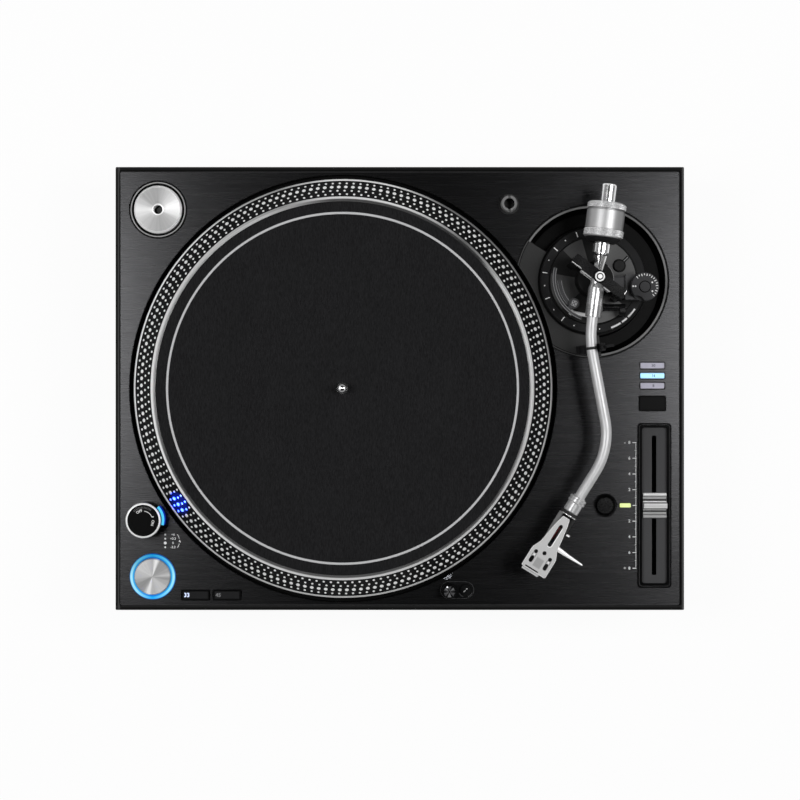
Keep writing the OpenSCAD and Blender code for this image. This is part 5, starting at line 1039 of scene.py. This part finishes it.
def gimbal_details():
    """Lock nut on its washer over the pivot, polished edges of the swing frame, white strips on the bridge's
    edges and a grey arc on the pedestal's rim that are painted highlights, and the housing's neck.
    """
    here = over_pivot(BRIDGE_TOP)
    nut = Pile()
    nut.turned(NUT, here, 48)
    nut.disc(1.8, 2.3, 2.8, here, edge=0.2)
    nut.made("pivot_nut", "arm_column", "steel", DOT_METAL, smooth=40)
    washer = Pile()
    washer.disc(4.9, INK[0], 0.25, here, steps=48)
    washer.made("pivot_washer", "arm_column", "black_metal", KNOB_BLACK)
    # White strips on the black bridge's edges: painted highlights
    edge = Pile()
    prism(edge, (-23.9, -15.0), bevel(-4.0, BRIDGE_TOP, 0.7, 0.7), over_pivot(0, BRIDGE_TURN))
    prism(edge, (0.4, 3.9), bevel(-23.9, BRIDGE_TOP, 1.0, 0.8), over_pivot(0, BRIDGE_TURN + 90))
    edge.made("bridge_edge_highlight", "arm_column", "steel", DOT_METAL)
    frame_edge = Pile()
    for span in ((-13.4, -4.6), (7.6, 13.4)):
        prism(frame_edge, span, FRAME_EDGE, over_pivot(FRAME_TOP, BRIDGE_TURN))
    frame_edge.made("frame_edge", "swing_frame", "steel", DOT_METAL)
    neck = Pile()
    prism(neck, HOUSING_NECK_X, HOUSING_NECK_SECTION)
    neck.made("housing_neck", "arm_column", "black_plastic", HOUSING_GREY)
    # Grey arc on part of the pedestal's rim: painted highlight
    pedestal = Pile()
    pedestal.arc(PEDESTAL_R - 0.5, PEDESTAL_R, -28, 48, *INK, over_pivot(PEDESTAL_TOP))
    pedestal.made("pedestal_rim_highlight", "arm_column", "steel", GREY_INK)


LIFTER_BOSS = on_circle(26, math.radians(228), PIVOT)
SCREW = (-0.1, 0.4)


def lifter_details():
    """Cross-headed screw in the lifter's boss, and painted highlights along the edges of its rail and its
    inner arc.
    """
    here = placed((*LIFTER_BOSS, LIFTER_BOSS_TOP), 20)
    head = Pile()
    for k in range(4):
        head.arc(0.55, 2.7, 90 * k + 14, 90 * k + 76, *SCREW, here, step=12)
    head.arc(2.2, 2.7, 0, 359.9, *SCREW, here, step=12)
    head.made("lifter_screw", "arm_lifter", "steel", DARK_STEEL)
    # Grey lines along the rail's and the inner arc's edges: painted highlights
    edges = Pile()
    for r in (31.85, 33.75):
        edges.arc(r, r + 0.4, 166, 249, *INK, over_pivot(RAIL_TOP))
    for r in (26.95, 29.95):
        edges.arc(r, r + 0.3, 183, 221, *INK, over_pivot(INNER_ARC_TOP))
    edges.made("lifter_edge_highlights", "arm_lifter", "steel", GREY_INK)


# Tonearm

KNURL_COUNT = 60
KNURL_HEIGHT = 0.5
KNURL_CORNERS = ((-0.48, -0.48, 0), (0.48, -0.48, 0), (0.48, 0.48, 0), (-0.48, 0.48, 0), (0, 0, 1))
DIAL_CONE = [(7.3, 27.2), (7.3, 30.9), (13.4, 30.9), (13.9, 30.5), (13.4, 29.9), (9.6, 27.2)]
REAR_SHAFT = [(0.4, 5.0), (3.2, 5.0), (5.6, 17.9), (4.5, 17.9), (4.5, 19.2), (6.3, 19.2), (6.6, 19.5),
              (6.6, 26.4), (6.3, 26.7), (5.9, 26.7), (5.9, 71.8), (4.9, 72.8), (0.4, 72.8)]
FERRULE_SLEEVE = [(5.4, 8.2), (6.03, 8.2), (6.03, 30.1), (5.7, 30.42), (5.4, 30.42)]
TUBE_BAND = [(4.1, -1.1), (4.35, -1.1), (4.4, -0.9), (4.4, 0.9), (4.35, 1.1), (4.1, 1.1)]


def knurl(name, body, r, start, stop, rows):
    """Rows of small pyramids round a drum that lies along the arm."""
    pile = Pile()
    step = (stop - start) / rows
    for row in range(rows):
        for i in range(KNURL_COUNT):
            corners = []
            for du, dv, lift in KNURL_CORNERS:
                a = 2 * math.pi * (i + dv + 0.5 * (row % 2)) / KNURL_COUNT
                spot = on_circle(r + KNURL_HEIGHT * lift - 0.02, a)
                corners.append((start + (row + 0.5 + du) * step, *spot))
            pile.add(corners, [[0, 1, 4], [1, 2, 4], [2, 3, 4], [3, 0, 4]], placed(PIVOT, ARM_BACK))
    pile.made(name, body, "satin_aluminium", KNURL_METAL, smooth=5)


def arm_details():
    """Knurled bands and dark cone of the weight, smooth rear shaft and ferrule sleeve."""
    back = placed(PIVOT, ARM_BACK) @ LYING
    knurl("weight_knurl", "counterweight", 14.7, 53.4, 57.3, 3)
    knurl("dial_knurl", "force_dial", 15.0, 32.1, 37.3, 4)
    cone = Pile()
    cone.turned(DIAL_CONE, back)
    cone.made("dial_cone", "force_dial", "black_plastic", BLACK_PLASTIC)
    shaft = Pile()
    shaft.turned(REAR_SHAFT, back, 128)
    piece = shaft.made("rear_shaft", "tonearm", "satin_aluminium", REAR_METAL)
    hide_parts("arm_rear_shaft")
    sleeve = Pile()
    sleeve.turned(FERRULE_SLEEVE, placed(PIVOT, ARM_BACK + 180) @ LYING, 128)
    sleeve.made("ferrule_sleeve", "tonearm", "satin_aluminium", FERRULE_METAL)


def tube_band():
    """Dark band on the tube where it lies in its rest."""
    band = Pile()
    band.turned(TUBE_BAND, placed(REST, REST_TURN) @ LYING, 48)
    band.made("tube_band", "tonearm", "black_plastic", RUBBER, smooth=60)


# Headshell

SHELL_TOP = 3.6
PLATE_UNDER = 0.8
PLATE_SHIFT = -0.4
PLATE_HALVES = ((2.6, 2.6), (3.4, 3.1), (8.7, 4.45), (19.5, 6.3), (25.0, 6.95), (28.8, 7.65), (31.3, 8.9),
                (34.6, 10.4), (36.0, 10.6), (50.5, 10.6), (51.5, 9.8))
PLATE_EDGE = 0.45
HOLE_ROWS = (PLATE_SHIFT - 6.35, PLATE_SHIFT + 6.35)
LEAD_SLOT = (10.9, 27.1)
NECK_STATIONS = ((0.6, 7.2, 4.3), (14.0, 7.15, 4.3), (20.0, 6.8, 4.1), (24.5, 6.2, 3.6))
NECK_Z = -3.5
NECK_WALL = 1.1
NECK_STEPS = 30
FLANGE = [(4.0, -0.1), (7.0, -0.1), (7.2, 0.1), (7.2, 0.5), (7.0, 0.65), (4.0, 0.65)]
SEAL = [(4.4, -2.25), (6.35, -2.25), (6.55, -1.9), (6.55, -0.5), (6.35, -0.15), (4.4, -0.15)]
LIP = [(50.8, -9.4), (53.6, -9.4), (53.6, 4.4), (52.9, 5.2), (50.8, 5.2)]
BLADE_SECTIONS = ((5.0, 24.6, 28.8), (7.9, 24.9, 28.7), (17.3, 26.0, 28.5), (26.0, 26.5, 28.1),
                  (29.2, 26.7, 27.9), (29.8, 27.0, 27.6))
BLADE_Z = (-0.4, 0.78)
BLADE_EDGE = 0.3


def shell_paint():
    """Headshell: pale satin plate with a duller patch, over a neck that darkens from left to right as painted
    shade.
    """
    coat = Finish("headshell_satin", (0.52, 0.52, 0.53), Metallic=0.25)
    along, across, up = (coat.axis(which, HEAD, HEAD_TURN) for which in "XYZ")
    wide = coat.steps(across, -12, 12, [(-12, 0.0), (-3.7, 1.0), (2.5, 0.0)])
    deep = coat.ramp(along, 0, 60, [(0, 0.0), (39.5, 0.0), (40.5, 1.0), (47, 1.0), (48, 0.0), (60, 0.0)])
    pale, dull = (coat.ramp(along, -20, 60, [(-20, level), (60, level)]) for level in (0.56, 0.36))
    # Painted light and shade on the neck: light at its left side, dark from its middle to its right
    neck = coat.ramp(across, -8, 8, [(-7.2, 0.3), (-5, 0.14), (-4, 0.03), (3, 0.008), (8, 0.012)])
    plate = coat.mix(coat.times(wide, deep), pale, dull)
    over = coat.steps(up, -10, 10, [(-10, 0.0), (PLATE_UNDER - 0.05, 1.0)])
    return coat.done(coat.mix(over, neck, plate), (0.42, 0.5), coat.grain(0.3), 0.006, soft=0.9)


def neck_loop(x, half, deep):
    """Section of the trough-shaped neck, which is open at the top."""
    turns = [math.radians(125 + 290 * i / NECK_STEPS) for i in range(NECK_STEPS + 1)]
    loop = [(x, half * math.cos(a), NECK_Z + deep * math.sin(a)) for a in turns]
    half, deep = half - NECK_WALL, deep - NECK_WALL
    return loop + [(x, half * math.cos(a), NECK_Z + deep * math.sin(a)) for a in reversed(turns)]


def headshell_shell():
    """Headshell plate with its openings and bright edges, over a trough-shaped neck and its plug; the edges'
    white and the small white marks by its openings and on its neck are painted highlights.
    """
    here = placed(HEAD, HEAD_TURN)
    outline = [(x, PLATE_SHIFT - half) for x, half in PLATE_HALVES]
    outline += [(x, PLATE_SHIFT + half) for x, half in reversed(PLATE_HALVES)]
    inner = inset(outline, PLATE_EDGE)
    holes = [pill(*LEAD_SLOT, PLATE_SHIFT, 1.6), pill(34.8, 34.81, PLATE_SHIFT, 1.65)]
    for y in HOLE_ROWS:
        holes += [pill(36.9, 36.91, y, 1.6), pill(42.3, 44.9, y, 1.6)]
    shell = Pile()
    shell.plate([inner] + holes, PLATE_UNDER, SHELL_TOP, here)
    shell.swept([neck_loop(*station) for station in NECK_STATIONS], here)
    shell.disc(4.0, -13.0, 0.5, here @ LYING, edge=0.4, steps=32)
    piece = shell.made("headshell_shell", "headshell", "satin_aluminium", shell_paint())
    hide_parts("headshell")
    # White bevel round the plate and small white marks by its openings and on its neck: painted highlights
    edges = Pile()
    edges.frame(inner, outline, PLATE_UNDER, SHELL_TOP, here, drop=0.4)
    top = (SHELL_TOP - 0.05, SHELL_TOP + 0.05)
    edges.box((LEAD_SLOT[0] + 1, LEAD_SLOT[1]), (PLATE_SHIFT + 1.55, PLATE_SHIFT + 2.3), top, here)
    edges.arc(1.55, 2.3, -35, 90, *top, shifted(here, LEAD_SLOT[1], PLATE_SHIFT), step=12)
    for y in HOLE_ROWS:
        edges.box((39.1, 40.1), (y - 0.55, y + 0.55), top, here)
    edges.box((13.2, 14.6), (7.0, 9.6), (-1.8, -0.6), here)
    edges.made("headshell_edge_highlights", "headshell", "satin_aluminium", DOT_METAL)


def headshell_details():
    """Flange and dark seal at the plug, lip under the front edge, and engraved lines."""
    here = placed(HEAD, HEAD_TURN)
    flange = Pile()
    flange.turned(FLANGE, here @ LYING)
    flange.made("headshell_flange", "headshell", "polished_shaft", SHAFT_METAL, smooth=60)
    lip = Pile()
    lip.slab(LIP, 0.2, 1.2, here)
    lip.made("headshell_lip", "headshell", "satin_aluminium", TUBE_METAL)
    lines = Pile()
    engraved = (SHELL_TOP - 0.02, SHELL_TOP + 0.06)
    for y in HOLE_ROWS:
        for dy in (-1.6, 1.3):
            lines.box((38.2, 41.2), (y + dy, y + dy + 0.3), engraved, here)
    lines.box((49.7, 50.7), (-8.3, 3.0), engraved, here)
    lines.made("headshell_lines", "headshell", "black_metal", KNOB_BLACK)
    seal = Pile()
    seal.turned(SEAL, here @ LYING, 48)
    seal.made("headshell_seal", "headshell", "black_plastic", RUBBER, smooth=60)


def finger_blade():
    """Tapered bright blade that the finger lifts the headshell by."""
    (low, high), edge = BLADE_Z, BLADE_EDGE
    loops = []
    for y, back, front in BLADE_SECTIONS:
        loops.append([(back, y, low + edge), (back + edge, y, low), (front - edge, y, low),
                      (front, y, low + edge), (front, y, high - edge), (front - edge, y, high),
                      (back + edge, y, high), (back, y, high - edge)])
    blade = Pile()
    blade.swept(loops, placed(HEAD, HEAD_TURN))
    piece = blade.made("finger_blade", "headshell", "satin_aluminium", DOT_METAL, smooth=50)
    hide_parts("finger_lift")


# Rear

JACK_FACE = 163.6
JACK_Z = 45.0
JACK_RING = [(4.3, 0.9), (4.3, 1.7), (5.4, 1.7), (5.7, 1.4), (5.7, 0.9)]


def jack_rings():
    """Coloured insulators round the two outputs."""
    facing_back = Matrix.Rotation(-math.pi / 2, 4, "X")
    for name, x, material in (("jack_ring_left", 104.0, WHITE_RING), ("jack_ring_right", 120.0, RED_RING)):
        ring = Pile()
        ring.turned(JACK_RING, Matrix.Translation((x, JACK_FACE, JACK_Z)) @ facing_back, 48)
        ring.made(name, "chassis", "white_light", material)


platter_dots()
felt_mat()
fader_scale()
strobe_legend()
key_numbers()
range_numbers()
key_frames()
power_knob_marks()
lamp_details()
arm_base_marks()
gimbal_details()
lifter_details()
arm_details()
headshell_shell()
headshell_details()
finger_blade()
tube_band()
jack_rings()


# Studio

FLOOR_HALF = 6.0
FLOOR_GLOW = 0.94
SKY_LEVELS = ((0.0, 0.4), (0.2, 0.38), (0.5, 0.14), (0.9, 0.02))


def white_floor():
    """Pale floor that looks white and keeps a soft shadow."""
    mesh = bpy.data.meshes.new("floor")
    corners = [(sx * FLOOR_HALF, sy * FLOOR_HALF, 0) for sx, sy in ((-1, -1), (1, -1), (1, 1), (-1, 1))]
    mesh.from_pydata(corners, [], [[0, 1, 2, 3]])
    floor = bpy.data.objects.new("floor", mesh)
    bpy.context.scene.collection.objects.link(floor)
    material = bpy.data.materials.new("floor_white")
    material.use_nodes = True
    tree = material.node_tree
    shader = tree.nodes["Principled BSDF"]
    shader.inputs["Base Color"].default_value = (0.95, 0.95, 0.95, 1)
    shader.inputs["Roughness"].default_value = 0.9
    path = add_node(tree, "LightPath").outputs
    seen = path["Is Camera Ray"]
    for other in ("Is Glossy Ray", "Is Transmission Ray"):
        seen = add_node(tree, "Math", {0: seen, 1: path[other]}, operation="MAXIMUM").outputs[0]
    share = add_node(tree, "Math", {0: seen, 1: FLOOR_GLOW}, operation="MULTIPLY").outputs[0]
    glow = add_node(tree, "Emission").outputs[0]
    blend = add_node(tree, "MixShader", {"Fac": share, 1: shader.outputs[0], 2: glow})
    tree.links.new(blend.outputs[0], tree.nodes["Material Output"].inputs["Surface"])
    mesh.materials.append(material)


def studio_world():
    """Dim sky that is palest at the horizon, and plain white where the camera sees it."""
    world = bpy.data.worlds.new("studio")
    bpy.context.scene.world = world
    world.use_nodes = True
    tree = world.node_tree
    split = add_node(tree, "SeparateXYZ", {0: add_node(tree, "TexCoord").outputs["Generated"]})
    sky = add_node(tree, "ValToRGB", {"Fac": split.outputs["Z"]})
    set_stops(sky.color_ramp, SKY_LEVELS)
    light = tree.nodes["Background"]
    tree.links.new(sky.outputs["Color"], light.inputs["Color"])
    backdrop = add_node(tree, "Background", {"Color": (1, 1, 1, 1)})
    seen = add_node(tree, "LightPath").outputs["Is Camera Ray"]
    choice = add_node(tree, "MixShader", {"Fac": seen, 1: light.outputs[0], 2: backdrop.outputs[0]})
    tree.links.new(choice.outputs[0], tree.nodes["World Output"].inputs["Surface"])


SIDE_LIGHT_X = 0.94
SIDE_LIGHT_Y = 0.09
SIDE_LIGHT_Z = 1.5
SIDE_LIGHT_SIZE = (0.98, 0.5)
SIDE_LIGHT_POWER = 15


def hung_light(lamp, at, target):
    """A lamp at a place in metres, facing a point."""
    holder = bpy.data.objects.new(lamp.name, lamp)
    holder.location = at
    holder.rotation_euler = (Vector(target) - Vector(at)).to_track_quat("-Z", "Y").to_euler()
    bpy.context.scene.collection.objects.link(holder)
    return holder


def side_light(name, x):
    """Soft panel that faces down beside the deck."""
    lamp = bpy.data.lights.new(name, "AREA")
    lamp.shape = "RECTANGLE"
    lamp.size, lamp.size_y = SIDE_LIGHT_SIZE
    lamp.energy = SIDE_LIGHT_POWER
    hung_light(lamp, (x, SIDE_LIGHT_Y, SIDE_LIGHT_Z), (x, SIDE_LIGHT_Y, 0))


def deck_lamp(name, at, target, color, power, spread, blend, soft, body):
    """Small lamp of the deck itself, moving with its piece."""
    lamp = bpy.data.lights.new(name, "SPOT")
    lamp.energy = power
    lamp.color = color
    lamp.spot_size = math.radians(spread)
    lamp.spot_blend = blend
    lamp.shadow_soft_size = soft
    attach(hung_light(lamp, metres(at), metres(target)), body)


def camera():
    """Straight down from above, as the deck was photographed."""
    data = bpy.data.cameras.new("camera")
    data.sensor_width = 36.0
    data.lens = 79.2
    data.clip_end = 20.0
    holder = bpy.data.objects.new("camera", data)
    holder.location = (0.00015, -0.00916, 1.5)
    bpy.context.scene.collection.objects.link(holder)
    bpy.context.scene.camera = holder


white_floor()
studio_world()
side_light("left_panel", -SIDE_LIGHT_X)
side_light("right_panel", SIDE_LIGHT_X)
deck_lamp("strobe_lamp", (-200, -104, 150), (-174.0, -90.2, 112), color=(0.001, 0.034, 1.0), power=2.2,
          spread=23.5, blend=0.3, soft=0.0012, body="chassis")
deck_lamp("stylus_light", (38.2, -154.2, 109), (38.4, -149.0, 100), color=(0.92, 0.95, 1.0), power=0.08,
          spread=24, blend=1.0, soft=0.003, body="stylus_lamp")
camera()
bpy.context.scene.view_settings.view_transform = "Standard"
